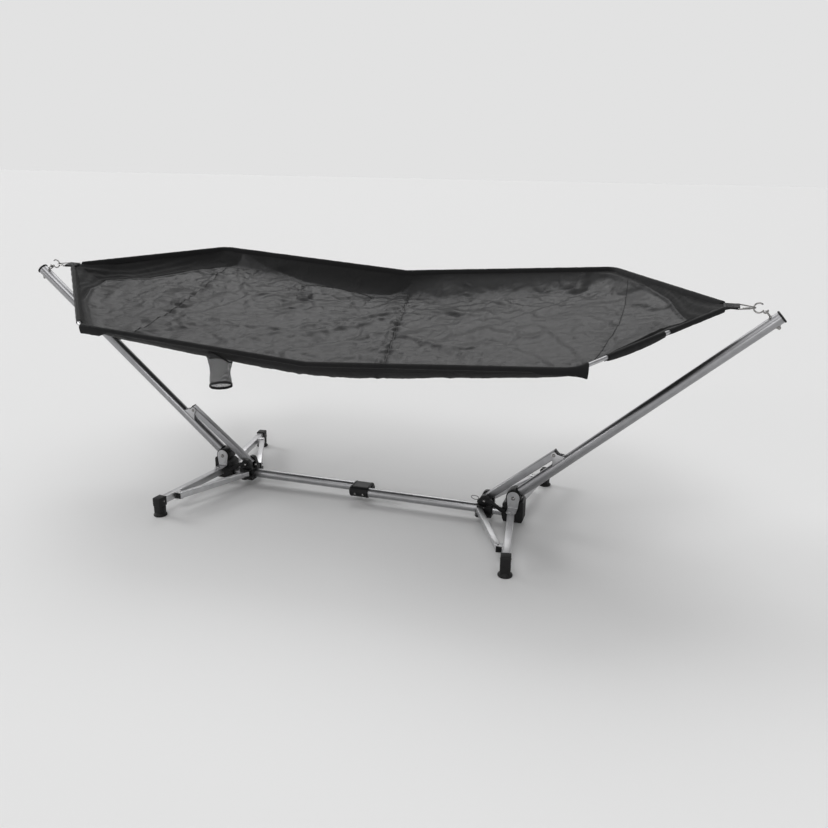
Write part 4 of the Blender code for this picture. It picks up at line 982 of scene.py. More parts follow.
def make_leg(side, depth, sy):
    tag = f"{depth}_{side}"
    pivot, foot, rivet, _ = leg_points(sy)
    local, length = run_frame(pivot, foot)
    place = end_frame(side) @ local
    body = f"leg_{tag}"
    bm = bmesh.new()
    add_square_bar(bm, SQUARE, -0.011, length + 0.012)
    finish_piece(bm, f"leg_bar_{tag}", BAR_ALUMINIUM, place, body, [f"leg_{tag}"])
    spot = local.inverted() @ rivet
    inboard = 1 if spot.y > 0 else -1
    bm = bmesh.new()
    half = BRACE_SQUARE / 2 + 0.0004
    edge = SQUARE / 2
    for sz in (1, -1):
        lug = arc(spot.x, abs(spot.y), 0.0100, 15, 165, 16)
        outline = [(spot.x + 0.014, edge - 0.001)] + lug + [(spot.x - 0.014, edge - 0.001)]
        outline = [(x, inboard * y) for x, y in (outline if inboard > 0 else outline[::-1])]
        low, high = sorted((sz * half, sz * (half + 0.0018)))
        add_plate(bm, outline, low, high, 0.0004)
    finish_piece(bm, f"brace_lugs_{tag}", BAR_ALUMINIUM, place, body)
    bm = bmesh.new()
    for sz in (1, -1):
        head = facing((0, 0, sz), (spot.x, spot.y, sz * (half + 0.0017)))
        add_dome_head(bm, 0.0042, 0.0018, head)
    add_rod(bm, 0.003, -half, half, at(spot.x, spot.y, 0), 24)
    finish_piece(bm, f"brace_rivet_{tag}", STEEL, place, body)
    make_foot(tag, place, length, body)


FOOT_HALF = 0.017


def make_foot(tag, place, length, body):
    """Collar over the leg's end, with a stepped lip, a post and a flared round sole."""
    floor = -(TAB_Z - GAP - SQUARE / 2)
    half = FOOT_HALF
    bm = bmesh.new()
    add_block(bm, (length - 0.0165, -half, -half), (length + 0.018, half, half), 0.0042, 4)
    add_block(bm, (length - 0.020, -half + 0.0004, -half + 0.0004),
              (length - 0.014, half - 0.0004, half - 0.0004), 0.0018, 3)
    top = -half + 0.006
    bottom = floor + 0.004
    verts = bmesh.ops.create_cone(bm, cap_ends=True, segments=4, radius1=0.0158 * sqrt(2),
                                  radius2=0.0163 * sqrt(2), depth=top - bottom)["verts"]
    verts = round_edges(bm, verts, edges_of(verts), 0.0040, 4)
    move_all(bm, at(length, 0, (top + bottom) / 2) @ Matrix.Rotation(pi / 4, 4, "Z"), verts)
    sole = [(0.0, floor + 0.015), (0.0168, floor + 0.015), (0.0186, floor + 0.0110),
            (0.0212, floor + 0.0078), (0.0234, floor + 0.0060), (0.0240, floor + 0.0046),
            (0.0240, floor + 0.0014), (0.0228, floor), (0.0, floor)]
    add_lathe(bm, sole, at(length, 0, 0), 56)
    for sy in (1, -1):
        low, high = sorted((sy * 0.0150, sy * 0.0174))
        add_block(bm, (length - 0.0012, low, floor + 0.012),
                  (length + 0.0012, high, -half + 0.002), 0.0007)
    finish_piece(bm, f"foot_boot_{tag}", DULL_BLACK, place, body, [f"foot_{tag}"])
    bm = bmesh.new()
    for sy in (1, -1):
        seat = (length - 0.006, sy * (half - 0.0002), 0.002)
        add_dome_head(bm, 0.0030, 0.0016, facing((0, sy, 0), seat))
    finish_piece(bm, f"foot_rivet_{tag}", STEEL, place, body)


def make_brace(side, depth, sy):
    tag = f"{depth}_{side}"
    _, _, rivet, slide = leg_points(sy)
    local, length = run_frame(rivet, slide)
    place = end_frame(side) @ local
    body = f"brace_{tag}"
    bm = bmesh.new()
    add_square_bar(bm, BRACE_SQUARE, -0.0062, length + 0.011, 0.0022)
    finish_piece(bm, f"brace_bar_{tag}", BAR_ALUMINIUM, place, body, [f"brace_{tag}"])
    bm = bmesh.new()
    half = BRACE_SQUARE / 2
    add_block(bm, (-0.0109, -half, -half), (-0.0060, half, half), 0.0012, 3)
    add_block(bm, (length + 0.0106, -half + 0.001, -half + 0.001),
              (length + 0.0122, half - 0.001, half - 0.001), 0.0006)
    finish_piece(bm, f"brace_end_plug_{tag}", BLACK, place, body)


# The hammock's own axes: X between its hooks, Y across it, both halves in one frame

BED_HALF = 0.487
BED_CORNER_X = 0.826
BED_END_INSET = 0.0158
BED_END_HALF = 0.030
BED_CORNER_DROP = 0.048
BED_MIDDLE_DROP = 0.108
BED_BEND_R = 0.070
BED_BELLY = 0.082
BED_BELLY_CORNER = 0.052
BED_BELLY_END = 0.040
POLE_R = 0.006
SLEEVE_R = 0.0080
CLOTH = 0.0009


def hang_point():
    _, big = hook_turns()
    return big[0] - (HOOK_BIG_R - HOOK_WIRE_R - LINK_WIRE_R - GAP), big[1]


HANG_X, HANG_Z = hang_point()
BED_TIP = hypot(HANG_X, LANE)
LINK_BAR = BED_TIP - LINK_LENGTH
BED_END = LINK_BAR - BED_END_INSET
POLE_END = Vector((BED_END - 0.030, BED_END_HALF))
BED_TURN = atan2(BED_HALF - POLE_END.y, POLE_END.x - BED_CORNER_X)
OUTWARD = Vector((sin(BED_TURN), cos(BED_TURN)))
BED_PLACE = (at(0, 0, HANG_Z) @ Matrix.Rotation(-atan2(LANE, HANG_X), 4, "Z")
             @ Matrix.Rotation(TILT, 4, "X"))


def pole_height(x):
    x = abs(x)
    if x <= BED_CORNER_X:
        return -BED_MIDDLE_DROP + (BED_MIDDLE_DROP - BED_CORNER_DROP) * x / BED_CORNER_X
    share = (x - BED_CORNER_X) / (POLE_END.x - BED_CORNER_X)
    return -BED_CORNER_DROP + (BED_CORNER_DROP - 0.004) * min(share, 1.08)


STATION_STEP = 0.0072


def edge_stations():
    """Places along one side pole: (x, y, height, turn of its outward side)."""
    cut = BED_BEND_R * tan(BED_TURN / 2)
    first = BED_CORNER_X - cut
    spots = []
    count = ceil(first / STATION_STEP)
    for i in range(count):
        spots.append((first * i / count, BED_HALF, 0.0))
    count = ceil(BED_BEND_R * BED_TURN / STATION_STEP)
    for i in range(count + 1):
        turn = BED_TURN * i / count
        spots.append((first + BED_BEND_R * sin(turn), BED_HALF - BED_BEND_R * (1 - cos(turn)),
                      turn))
    start = Vector(spots[-1][:2])
    count = ceil((POLE_END - start).length / STATION_STEP)
    for i in range(1, count + 1):
        spot = start.lerp(POLE_END, i / count)
        spots.append((spot.x, spot.y, BED_TURN))
    return [(x, y, pole_height(x), turn) for x, y, turn in spots]


STATIONS = edge_stations()


CORNER_EASE = 0.07


def inset(x, y):
    """How far a place lies inside the bed's outline, with the corner eased."""
    side = BED_HALF - abs(y)
    slant = -((abs(x) - BED_CORNER_X) * OUTWARD.x + (abs(y) - BED_HALF) * OUTWARD.y)
    blend = max(CORNER_EASE - abs(side - slant), 0.0) / CORNER_EASE
    return max(0.0, min(side, slant) - blend * blend * CORNER_EASE / 4 * 0.6)


def depth(x):
    """How deep the flat floor lies below the side poles."""
    x = abs(x)
    if x < BED_CORNER_X:
        return BED_BELLY + (BED_BELLY_CORNER - BED_BELLY) * (x / BED_CORNER_X) ** 1.5
    share = (x - BED_CORNER_X) / (BED_END - BED_CORNER_X)
    fade = clamp((POLE_END.x - x) / 0.09) ** 0.8
    return (BED_BELLY_CORNER + (BED_BELLY_END - BED_BELLY_CORNER) * share) * fade


WALL_REACH = 0.100
WALL_POWER = 2.7


def wall_share(x, y):
    """From 0 at the pole to 1 on the floor: steep walls, gentler on the right half."""
    reach, power = WALL_REACH, WALL_POWER
    away = min(1.0, abs(y) / 0.12)
    gentle = away * clamp((x - 0.02) / 0.16) if y > 0 else 0.0
    low = away * clamp((x - 0.80) / 0.12) if y < 0 else 0.0
    reach += 0.050 * gentle + 0.050 * low
    power -= 0.8 * gentle + 1.3 * low
    if y > 0:
        soft = clamp((0.05 - x) / 0.15) * clamp((x + 0.80) / 0.25)
        reach += 0.024 * soft
    if abs(x) > BED_CORNER_X:
        reach += 0.02 * min(1.0, (abs(x) - BED_CORNER_X) / 0.2)
    rest = 1 - min(1.0, inset(x, y) / reach)
    return 1 - rest ** power


def seam_x(which, y):
    """Where a cross seam runs: the slanted middle one and the two near the corners."""
    if which == "middle":
        return 0.015 + 0.218 * (0.48 - y)
    if which == "right":
        return 0.897 - 0.16 * max(0.0, 0.05 - y) ** 1.3 - 0.05 * max(0.0, y - 0.2)
    return -0.762 + 0.045 * clamp((0.30 - y) / 0.4) - 0.10 * max(0.0, y - 0.25)


def wave(x, y, z=0.0):
    return noise.noise(Vector((x, y, z)))


def ridge(x, y, z=0.0):
    """A sharp crest between soft hollows, as creased cloth has."""
    return 1 - 2 * abs(wave(x, y, z))


def bell(value):
    return exp(-value ** 2)


def seam_gather(x, y):
    """Puckers on both sides of the three cross seams."""
    height = 0.0
    for which, size, reach, pitch in (("middle", 0.0125, 0.055, 19), ("right", 0.0040, 0.040, 20),
                                      ("left", 0.0066, 0.045, 22)):
        away = x - seam_x(which, y)
        if abs(away) > 5 * reach:
            continue
        fade = exp(-abs(away) / reach)
        sharp = exp(-abs(away) / (reach * 0.35))
        drift = y + 0.25 * away * wave(y * 3, 4.0)
        if which == "middle" and away > 0:
            fade *= 0.55
        height += size * fade * wave(drift * pitch, away * 5, 1.0 + 7 * size * 100)
        height += size * 0.70 * sharp * wave(drift * pitch * 1.9, away * 9, 9.0)
        height -= size * 0.30 * bell(away / 0.009)
    return height + ladder(x, y)


def ladder(x, y):
    """Short pillows in a row along the left of the middle and left seams."""
    height = 0.0
    for which, size, pitch, wide, low, high in (("middle", 0.0046, 0.036, 0.030, -0.36, 0.30),
                                                ("left", 0.0026, 0.031, 0.024, -0.10, 0.34)):
        away = x - seam_x(which, y)
        if away > 0.004 or away < -2.2 * wide:
            continue
        ends = min(1.0, max(0.0, (y - low) / 0.05), max(0.0, (high - y) / 0.05))
        band = bell((away + wide * 0.5) / (wide * 0.42))
        drift = y + 0.20 * away + 0.006 * wave(y * 14, 71.0)
        strength = 0.55 + 0.9 * max(0.0, wave(y * 9, 75.0) + 0.35)
        height += size * ends * band * strength * abs(sin(pi * drift / pitch)) ** 0.7
        height -= size * 0.45 * ends * bell((away + wide * 1.05) / 0.004)
    return height


CREASES = [
    (0.826, 0.44, 0.36, -0.10, 0.0032, 0.020), (0.826, 0.42, 0.20, 0.22, 0.0024, 0.018),
    (0.80, -0.40, 0.40, -0.02, 0.0026, 0.022), (0.84, -0.34, 0.58, 0.10, 0.0022, 0.016),
    (0.12, 0.30, -0.10, 0.05, 0.0050, 0.020), (0.10, 0.18, -0.22, -0.12, 0.0055, 0.022),
    (0.12, 0.05, -0.16, -0.26, 0.0045, 0.020), (0.15, -0.10, -0.02, -0.34, 0.0040, 0.018),
    (0.13, 0.24, 0.42, 0.16, 0.0034, 0.020), (0.16, -0.04, 0.46, -0.20, 0.0036, 0.022),
    (-0.08, 0.30, -0.34, 0.16, 0.0032, 0.020), (-0.20, 0.00, -0.40, -0.30, 0.0034, 0.018),
    (-0.70, 0.36, -0.46, 0.02, 0.0026, 0.020), (-0.72, -0.36, -0.50, -0.08, 0.0024, 0.018),
    (-0.50, 0.24, -0.62, -0.16, 0.0024, 0.016), (0.30, 0.36, 0.62, 0.20, 0.0022, 0.016),
]


def crease_height(x, y):
    """Long soft folds pulled between the corners and the middle seam."""
    height = 0.0
    for x0, y0, x1, y1, size, width in CREASES:
        dx, dy = x1 - x0, y1 - y0
        length = hypot(dx, dy)
        along = ((x - x0) * dx + (y - y0) * dy) / length
        if along < -0.05 or along > length + 0.05:
            continue
        across = ((x - x0) * dy - (y - y0) * dx) / length
        across += 0.012 * wave(along * 9, x0 * 7, y0 * 5)
        if abs(across) > 3.5 * width:
            continue
        fade = 1.7 * sin(pi * clamp((along + 0.05) / (length + 0.10))) ** 0.7
        wide = width * (0.6 + 0.8 * clamp(along / length))
        height += size * fade * (bell(across / wide)
                                 - 0.55 * bell((across - wide * 1.5) / wide))
    return height


def facets(x, y, scale, layer):
    """Shallow pits that meet in sharp crests, as in crushed cloth."""
    near, far = noise.voronoi(Vector((x * scale, y * scale, layer)))[0][:2]
    return 0.45 * near * near - 0.35 * exp(-9 * (far - near))


def crumple(x, y):
    """The light crumples of a cloth that was packed away: broad, middling and fine."""
    broad = 0.0050 * wave(x * 5.5, y * 5.5, 3.0)
    bend = 0.020 * wave(x * 9, y * 9)
    middling = 0.0185 * facets(x + bend, y * 1.15 - bend, 8.5, 2.0)
    small = 0.0110 * facets(x - bend, y * 1.1 + bend, 17.0, 7.0)
    soft = 0.0036 * ridge(x * 15 - 30 * bend, y * 17, 15.0)
    fine = 0.0014 * ridge(x * 38, y * 41 + wave(x * 9, y * 9, 2.0), 8.0)
    patch = 0.62 + 0.75 * wave(x * 3.1, y * 3.7, 12.0)
    calm = 0.40 if abs(x) > 0.90 else 1.0 if x < 0.3 else 0.8
    return broad + (middling + small + soft + fine) * max(0.25, patch) * calm


def fold_lines(x, y):
    """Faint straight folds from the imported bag."""
    height = 0.0
    for place in (-0.93, -0.60, -0.44, -0.28, 0.27, 0.43, 0.60, 0.74, 1.0):
        away = x - place - 0.03 * y
        height += 0.0008 * exp(-abs(away) / 0.008)
    for place in (-0.24, -0.08, 0.10, 0.26):
        away = y - place - 0.02 * x
        height += 0.0007 * exp(-abs(away) / 0.008)
    return height


def edge_pucker(x, y):
    """Small gathers where the cloth is sewn to the pole sleeves."""
    d = inset(x, y)
    return 0.0022 * exp(-d / 0.045) * min(1.0, d / 0.010) * wave(x * 26, y * 26, 20.0)


def end_pleats(x, y):
    """Pleats that run into the strap at each end."""
    share = clamp((abs(x) - 0.98) / 0.20)
    if share == 0:
        return 0.0
    bearing = atan2(y, BED_TIP + 0.02 - abs(x))
    size = 0.0036 if x > 0 else 0.0014
    return size * share * sin(bearing * 11 + 2 * wave(x * 4, y * 6)) * (1 - 0.5 * share)


CALM_END = 0.03
CALM_EDGE = 0.09
CREST_EDGE = 0.022


def floor_place(x, y):
    """The height of the bed's cloth at a place, calm towards its edges and ends."""
    share = wall_share(x, y)
    eased = pole_height(sqrt(x * x + (0.10 * share) ** 2) if abs(x) < 0.6 else x)
    z = eased - depth(x) * share
    detail = (seam_gather(x, y) + crease_height(x, y) + crumple(x, y) + fold_lines(x, y)
              + end_pleats(x, y))
    inside = inset(x, y)
    before_end = clamp((BED_END - abs(x)) / CALM_END)
    keep = min(1.0, inside / CALM_EDGE) ** 1.4 * before_end * (1 - 0.6 * side_cloth_and_shade_share(x, y))
    crest = side_ridge(x, y) * min(1.0, inside / CREST_EDGE) * before_end
    return z + detail * keep + crest + edge_pucker(x, y)


FAR_BORDER = [(-1.236, 0.150), (-1.034, 0.150), (-0.907, 0.114), (-0.800, 0.092), (-0.752, 0.066),
              (-0.735, 0.012), (-0.600, 0.052), (-0.420, 0.098), (-0.150, 0.118), (-0.040, 0.092),
              (0.030, 0.032), (0.820, 0.022), (0.960, 0.030), (1.040, 0.052), (1.105, 0.096),
              (1.236, 0.096)]
NEAR_BORDER = [(-1.236, 0.120), (-1.120, 0.100), (-1.074, 0.055), (-0.988, 0.024), (-0.820, 0.030),
               (-0.750, 0.016), (0.780, 0.016), (0.860, 0.044), (0.953, 0.058), (1.030, 0.076),
               (1.090, 0.096), (1.236, 0.096)]


def border(x, y):
    """How far the side cloth and its painted wall shade reach in from the pole."""
    places, widths = zip(*(FAR_BORDER if y > 0 else NEAR_BORDER))
    width = float(np.interp(x, places, widths))
    if abs(x) > BED_CORNER_X:
        other, widths = zip(*(NEAR_BORDER if y > 0 else FAR_BORDER))
        share = max(0.0, 1 - abs(y) / 0.12) * 0.5
        width += share * (float(np.interp(x, other, widths)) - width)
    return width


def side_cloth_and_shade_share(x, y):
    """1 where the cloth is the darker side cloth, partly painted wall shade, 0 on the floor."""
    d = inset(x, y)
    # On the far wall's right half the border is soft: there the dark band is painted shade,
    # darkening gradually up the wall.
    soft = 0.024 if y > 0 and 0.03 < x < BED_CORNER_X else 0.005
    return clamp((border(x, y) - d) / soft + 0.5)


def side_ridge(x, y):
    """The crest where the floor turns into the end's side cloth."""
    share = clamp((abs(x) - 0.72) / 0.10)
    if y > 0 and -0.72 < x < 0.0:
        share = 0.6
    away = inset(x, y) - border(x, y)
    folds = 0.0
    if abs(x) > 0.9:
        folds = 0.0016 * sin(2 * pi * away / 0.034) * clamp(-away / 0.02)
    return share * (0.0052 * bell(away / 0.007) - 0.0042 * bell((away + 0.014) / 0.009) + folds)


SEWN_TURN = radians(218)
SEWN_IN = -cos(SEWN_TURN) * (POLE_R + 0.0016)
SEWN_DOWN = -sin(SEWN_TURN) * (POLE_R + 0.0016)
ACROSS = 132


def bed_grid(sx):
    """Rows of cloth points from near to far, from the middle to the strap."""
    rows = []
    lap = [(x, BED_HALF, pole_height(0), 0.0) for x in (-0.0045, -0.0008)] if sx > 0 else []
    for x, y, z, turn in lap + STATIONS:
        edge_x = x - SEWN_IN * sin(turn)
        edge_y = y - SEWN_IN * cos(turn)
        row = []
        for column in range(ACROSS + 1):
            t = -1 + 2 * column / ACROSS
            t = 0.62 * t + 0.38 * sin(pi * t / 2)
            spread = abs(t) ** 10
            px = x + (edge_x - x) * spread
            py = t * edge_y
            height = floor_place(sx * px, py)
            hem = z - SEWN_DOWN
            under = 0.0013 if x < -0.001 else 0.0
            row.append(Vector((px, py, height - under + (hem - height) * spread ** 3)))
        rows.append(row)
    last = rows[-1]
    run = LINK_BAR - 0.004 - last[0].x
    for share in (0.25, 0.5, 0.75, 1.0):
        row = []
        for point in last:
            narrow = 1 + (STRAP_HALF * 0.92 / POLE_END.y - 1) * share
            row.append(Vector((point.x + run * share, point.y * narrow,
                               point.z * (1 - share) ** 1.4 - 0.0005 * share)))
        rows.append(row)
    return rows


def add_quads(bm, grid, flat, flipped, flat_place):
    """Quads through a grid of points, with the flat cloth's coordinates at their corners."""
    for r in range(len(grid) - 1):
        for c in range(len(grid[r]) - 1):
            corners = [(r, c), (r + 1, c), (r + 1, c + 1), (r, c + 1)]
            if flipped:
                corners = corners[::-1]
            face = bm.faces.new([grid[i][j] for i, j in corners])
            for loop, (i, j) in zip(face.loops, corners):
                loop[flat].uv = flat_place(i, j)


def cloth_from_grid(bm, rows, sx):
    """Quads through the rows, with the share of darker side cloth and painted wall shade at each
    point.
    """
    flat = bm.loops.layers.uv.new("flat")
    side = bm.verts.layers.float.new("side_cloth_and_wall_shade")
    grid = []
    lengths = []
    for row in rows:
        line = []
        run = [0.0]
        for i, p in enumerate(row):
            v = bm.verts.new((sx * p.x, p.y, p.z))
            v[side] = side_cloth_and_shade_share(sx * p.x, p.y)
            line.append(v)
            if i:
                run.append(run[-1] + (p - row[i - 1]).length)
        grid.append(line)
        half = run[len(run) // 2]
        lengths.append([r - half for r in run])
    along = [0.0]
    for low, high in zip(rows, rows[1:]):
        along.append(along[-1] + (high[len(high) // 2] - low[len(low) // 2]).length)
    add_quads(bm, grid, flat, sx < 0, lambda i, j: (sx * along[i], lengths[i][j]))


def finish_slung(bm, name, materials, stands_for=(), sharp=35, normals=True, wall=None,
                 other_side=0, place=BED_PLACE):
    """Finishes a piece of the hammock and lets it ride on the hammock's body.
    A cloth gets a wall as thick as given, with the material of its other side."""
    obj = finish_piece(bm, name, materials, place, "hammock", stands_for, sharp, normals)
    if wall:
        solid = obj.modifiers.new("Cloth thickness", "SOLIDIFY")
        solid.thickness = wall
        solid.offset = 0.0
        solid.material_offset = other_side
        solid.use_quality_normals = True
    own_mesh(obj)
    return obj


def make_bed(side):
    sx = WAY[side]
    bm = bmesh.new()
    cloth_from_grid(bm, bed_grid(sx), sx)
    # The bed's outer side takes the darker sleeve cloth: painted shade on its underside.
    return finish_slung(bm, f"bed_cloth_{side}", [BED_CLOTH, SLEEVE_CLOTH_AND_UNDERSIDE_SHADE, SLEEVE_CLOTH_AND_UNDERSIDE_SHADE],
                        [f"bed_{side}"], 180, False, CLOTH, 1)


def station_frames(spots, sx, sy):
    """Places on one pole with its outward and upward directions."""
    frames = []
    for x, y, z, turn in spots:
        centre = Vector((sx * x, sy * y, z))
        out = Vector((sx * sin(turn), sy * cos(turn), 0))
        frames.append((centre, out))
    return frames


def make_pole(side, depth_name, sy):
    sx = WAY[side]
    points = [centre for centre, _ in station_frames(STATIONS, sx, sy)]
    points[0] = points[0] + Vector((sx * 0.001, 0, 0))
    points[-1] = points[-1].lerp(points[-2], 0.6)
    bm = bmesh.new()
    add_wire(bm, points, POLE_R, 20)
    finish_slung(bm, f"side_pole_tube_{depth_name}_{side}", ALUMINIUM,
                 [f"side_pole_{depth_name}_{side}"])


FLAP_TURN = radians(60)
WRAP_TURN = radians(152)
WRAP_STEPS = 22
HEM_STEPS = 3


def add_sleeve(bm, spots, sx, sy, droop=None, straight=False):
    """Cloth wrapped round a pole, its two edges sewn over the bed's edge.
    A straight one runs on past the pole's bend as a flap with a square end."""
    flat = bm.loops.layers.uv.verify()
    frames = station_frames(spots, sx, sy)
    grid = []
    length = 0.0
    lengths = []
    for number, (centre, out) in enumerate(frames):
        if number:
            length += (centre - frames[number - 1][0]).length
        lengths.append(length)
        x, y = centre.x, centre.y
        line = []
        slack = 0.0008 * wave(x * 40, y * 40, 31.0) + 0.0009 * wave(x * 95, y * 95, 33.0)
        hem = 0.0115 + 0.0012 * wave(x * 22, y * 22, 35.0)
        hang = droop(abs(x)) if droop else 0.0
        for step in range(WRAP_STEPS + 1):
            turn = WRAP_TURN * (2 * step / WRAP_STEPS - 1)
            r = SLEEVE_R + slack * (0.5 + 0.5 * cos(turn)) + 0.0003
            if abs(x) > POLE_END.x + 0.002:
                r *= 0.35
            low = max(0.0, -sin(turn)) * hang * max(0.0, 0.4 + 0.6 * cos(turn))
            spot = centre + r * cos(turn) * out + Vector((0, 0, r * sin(turn) - low))
            if straight:
                astray = BED_HALF - abs(y)
                reach = 0.0
                if turn < FLAP_TURN:
                    reach = max(0.0, sin((turn - FLAP_TURN) * -0.9)) ** 1.2
                spot.y += sy * astray * reach * 0.92
                spot.z -= astray * reach * 0.34
            line.append(spot)
        under = []
        over = []
        for step in range(1, HEM_STEPS + 1):
            run = hem * step / HEM_STEPS
            drop = run * 0.86 + hang * 0.2 + 0.0012
            under.insert(0, line[0] - out * (run * 0.35 - 0.0016) - Vector((0, 0, drop)))
            drop = run * 0.80 + 0.0052 * step / HEM_STEPS
            over.append(line[-1] - out * (run * 0.50 + 0.0004) - Vector((0, 0, drop)))
        grid.append([bm.verts.new(p) for p in under + line + over])
    add_quads(bm, grid, flat, sx * sy < 0, lambda i, j: (lengths[i], 0.004 * j))


def stitch_row(bm, points, pitch=0.0034, size=0.00045):
    """A row of short raised stitches along points."""
    points = [Vector(p) for p in points]
    if len(points) < 2:
        return
    total = sum((b - a).length for a, b in zip(points, points[1:]))
    count = max(1, int(total / pitch))
    spot = 0
    walked = 0.0
    for number in range(count):
        wanted = (number + 0.5) * pitch
        while spot < len(points) - 2 and walked + (points[spot + 1] - points[spot]).length < wanted:
            walked += (points[spot + 1] - points[spot]).length
            spot += 1
        run = points[spot + 1] - points[spot]
        middle = points[spot] + run * ((wanted - walked) / run.length)
        turn = Vector((1, 0, 0)).rotation_difference(run.normalized()).to_matrix().to_4x4()
        add_block(bm, (-pitch * 0.30, -size, -size), (pitch * 0.30, size, size), 0.0, 1,
                  Matrix.Translation(middle) @ turn)


def between(first, last):
    """The stations from x = first to x = last."""
    return [spot for spot in STATIONS if first <= spot[0] <= last]


def make_sleeves(side):
    """Pole sleeves: whole on the far side, in stretches with open gaps on the near side."""
    sx = WAY[side]
    pieces = []
    near = {"right": [(0.0, 0.858, "main"), (0.900, 1.046, "end"), (1.058, 1.300, "tip")],
            "left": [(0.0, 0.822, "main"), (0.846, 1.300, "end")]}[side]
    runs = [("far", 1, 0.0, 1.300, "whole")] + [("near", -1, a, b, word) for a, b, word in near]
    for depth_name, sy, first, last, word in runs:
        bm = bmesh.new()
        bm.loops.layers.uv.new("flat")
        spots = between(first, last)
        if last > POLE_END.x:
            x, y, z, turn = spots[-1]
            spots = spots + [(x + 0.005 * cos(turn), y - 0.005 * sin(turn), z, turn)]
        droop = None
        if word == "main":
            hang, begin = (0.013, 0.700) if side == "right" else (0.026, 0.715)
            droop = lambda x, hang=hang, begin=begin: hang * clamp((x - begin) / 0.035)
        if word == "end" and side == "right":
            droop = lambda x: 0.015 * max(0.0, sin(pi * (x - 0.895) / 0.155)) ** 0.6
        add_sleeve(bm, spots, sx, sy, droop, word == "main")
        pieces.append(finish_slung(bm, f"pole_sleeve_{depth_name}_{word}_{side}", SLEEVE_CLOTH_AND_UNDERSIDE_SHADE,
                                   (), 60, False, CLOTH))
    return pieces


HEM_INSET = 0.0152


def edge_stitches(side):
    """Stitches along the sleeves' hems and beside the cross seams."""
    sx = WAY[side]
    bm = bmesh.new()
    for sy in (1, -1):
        for first, last in ((0.004, 0.79), (0.90, 1.17)):
            points = []
            for x, y, _, turn in between(first, last):
                spot = Vector((sx * (x - HEM_INSET * sin(turn)),
                               sy * (y - HEM_INSET * cos(turn)), 0))
                spot.z = floor_place(spot.x, spot.y) + 0.0009
                points.append(spot)
            stitch_row(bm, points)
    for which, way in {"right": [("right", 1), ("middle", 1)], "left": [("left", -1)]}[side]:
        for shift in (-0.0012, 0.0060) if which == "middle" else (0.0,):
            points = []
            for step in range(150):
                y = -0.455 + 0.91 * step / 149
                x = seam_x(which, y) + shift
                if x * way < 0.004 or inset(x, y) < 0.016:
                    continue
                points.append(Vector((x, y, floor_place(x, y) + 0.0008)))
            if shift < 0.001:
                add_wire(bm, points, 0.0013 if which == "middle" else 0.0010, 8)
            else:
                stitch_row(bm, points, size=0.0006)
    return finish_slung(bm, f"bed_stitches_{side}", THREAD, (), 30, False)


def make_link(side):
    """Bent wire link: a bar in the strap, a plain side and a side with a threaded sleeve."""
    sx = WAY[side]
    straight = STRAP_HALF + 0.0006
    nose_x = BED_TIP - LINK_NOSE_R
    upper = arc(LINK_BAR + LINK_CORNER, straight, LINK_CORNER, 180, 70, 8)
    nose = arc(nose_x, 0, LINK_NOSE_R, 70, -70, 12)
    lower = [(x, -y) for x, y in reversed(upper)]
    outline = [(sx * x, y, 0) for x, y in upper + nose + lower]
    fine = []
    for a, b in zip(outline, outline[1:] + outline[:1]):
        a, b = Vector(a), Vector(b)
        parts = max(1, int((b - a).length / 0.004))
        fine += [a.lerp(b, i / parts) for i in range(parts)]
    bm = bmesh.new()
    add_wire(bm, fine, LINK_WIRE_R, 16, True)
    a = Vector((sx * (LINK_BAR + 0.008), -straight + 0.0022, 0))
    b = Vector((sx * (nose_x - 0.001), -LINK_NOSE_R - 0.0005, 0))
    way = (b - a).normalized()
    start = facing(way, a + way * 0.004)
    long = (b - a).length - 0.012
    add_lathe(bm, [(0.0, 0.0), (0.0031, 0.0), (0.0036, 0.0008), (0.0036, long - 0.0008),
                   (0.0031, long), (0.0, long)], start, 24)
    for step in range(6):
        thread = start @ at(0, 0, long + 0.0006 + 0.0011 * step)
        add_ring(bm, 0.0024, 0.00045, thread, 20, 6)
    finish_slung(bm, f"end_link_{side}", STEEL, [f"link_{side}"])


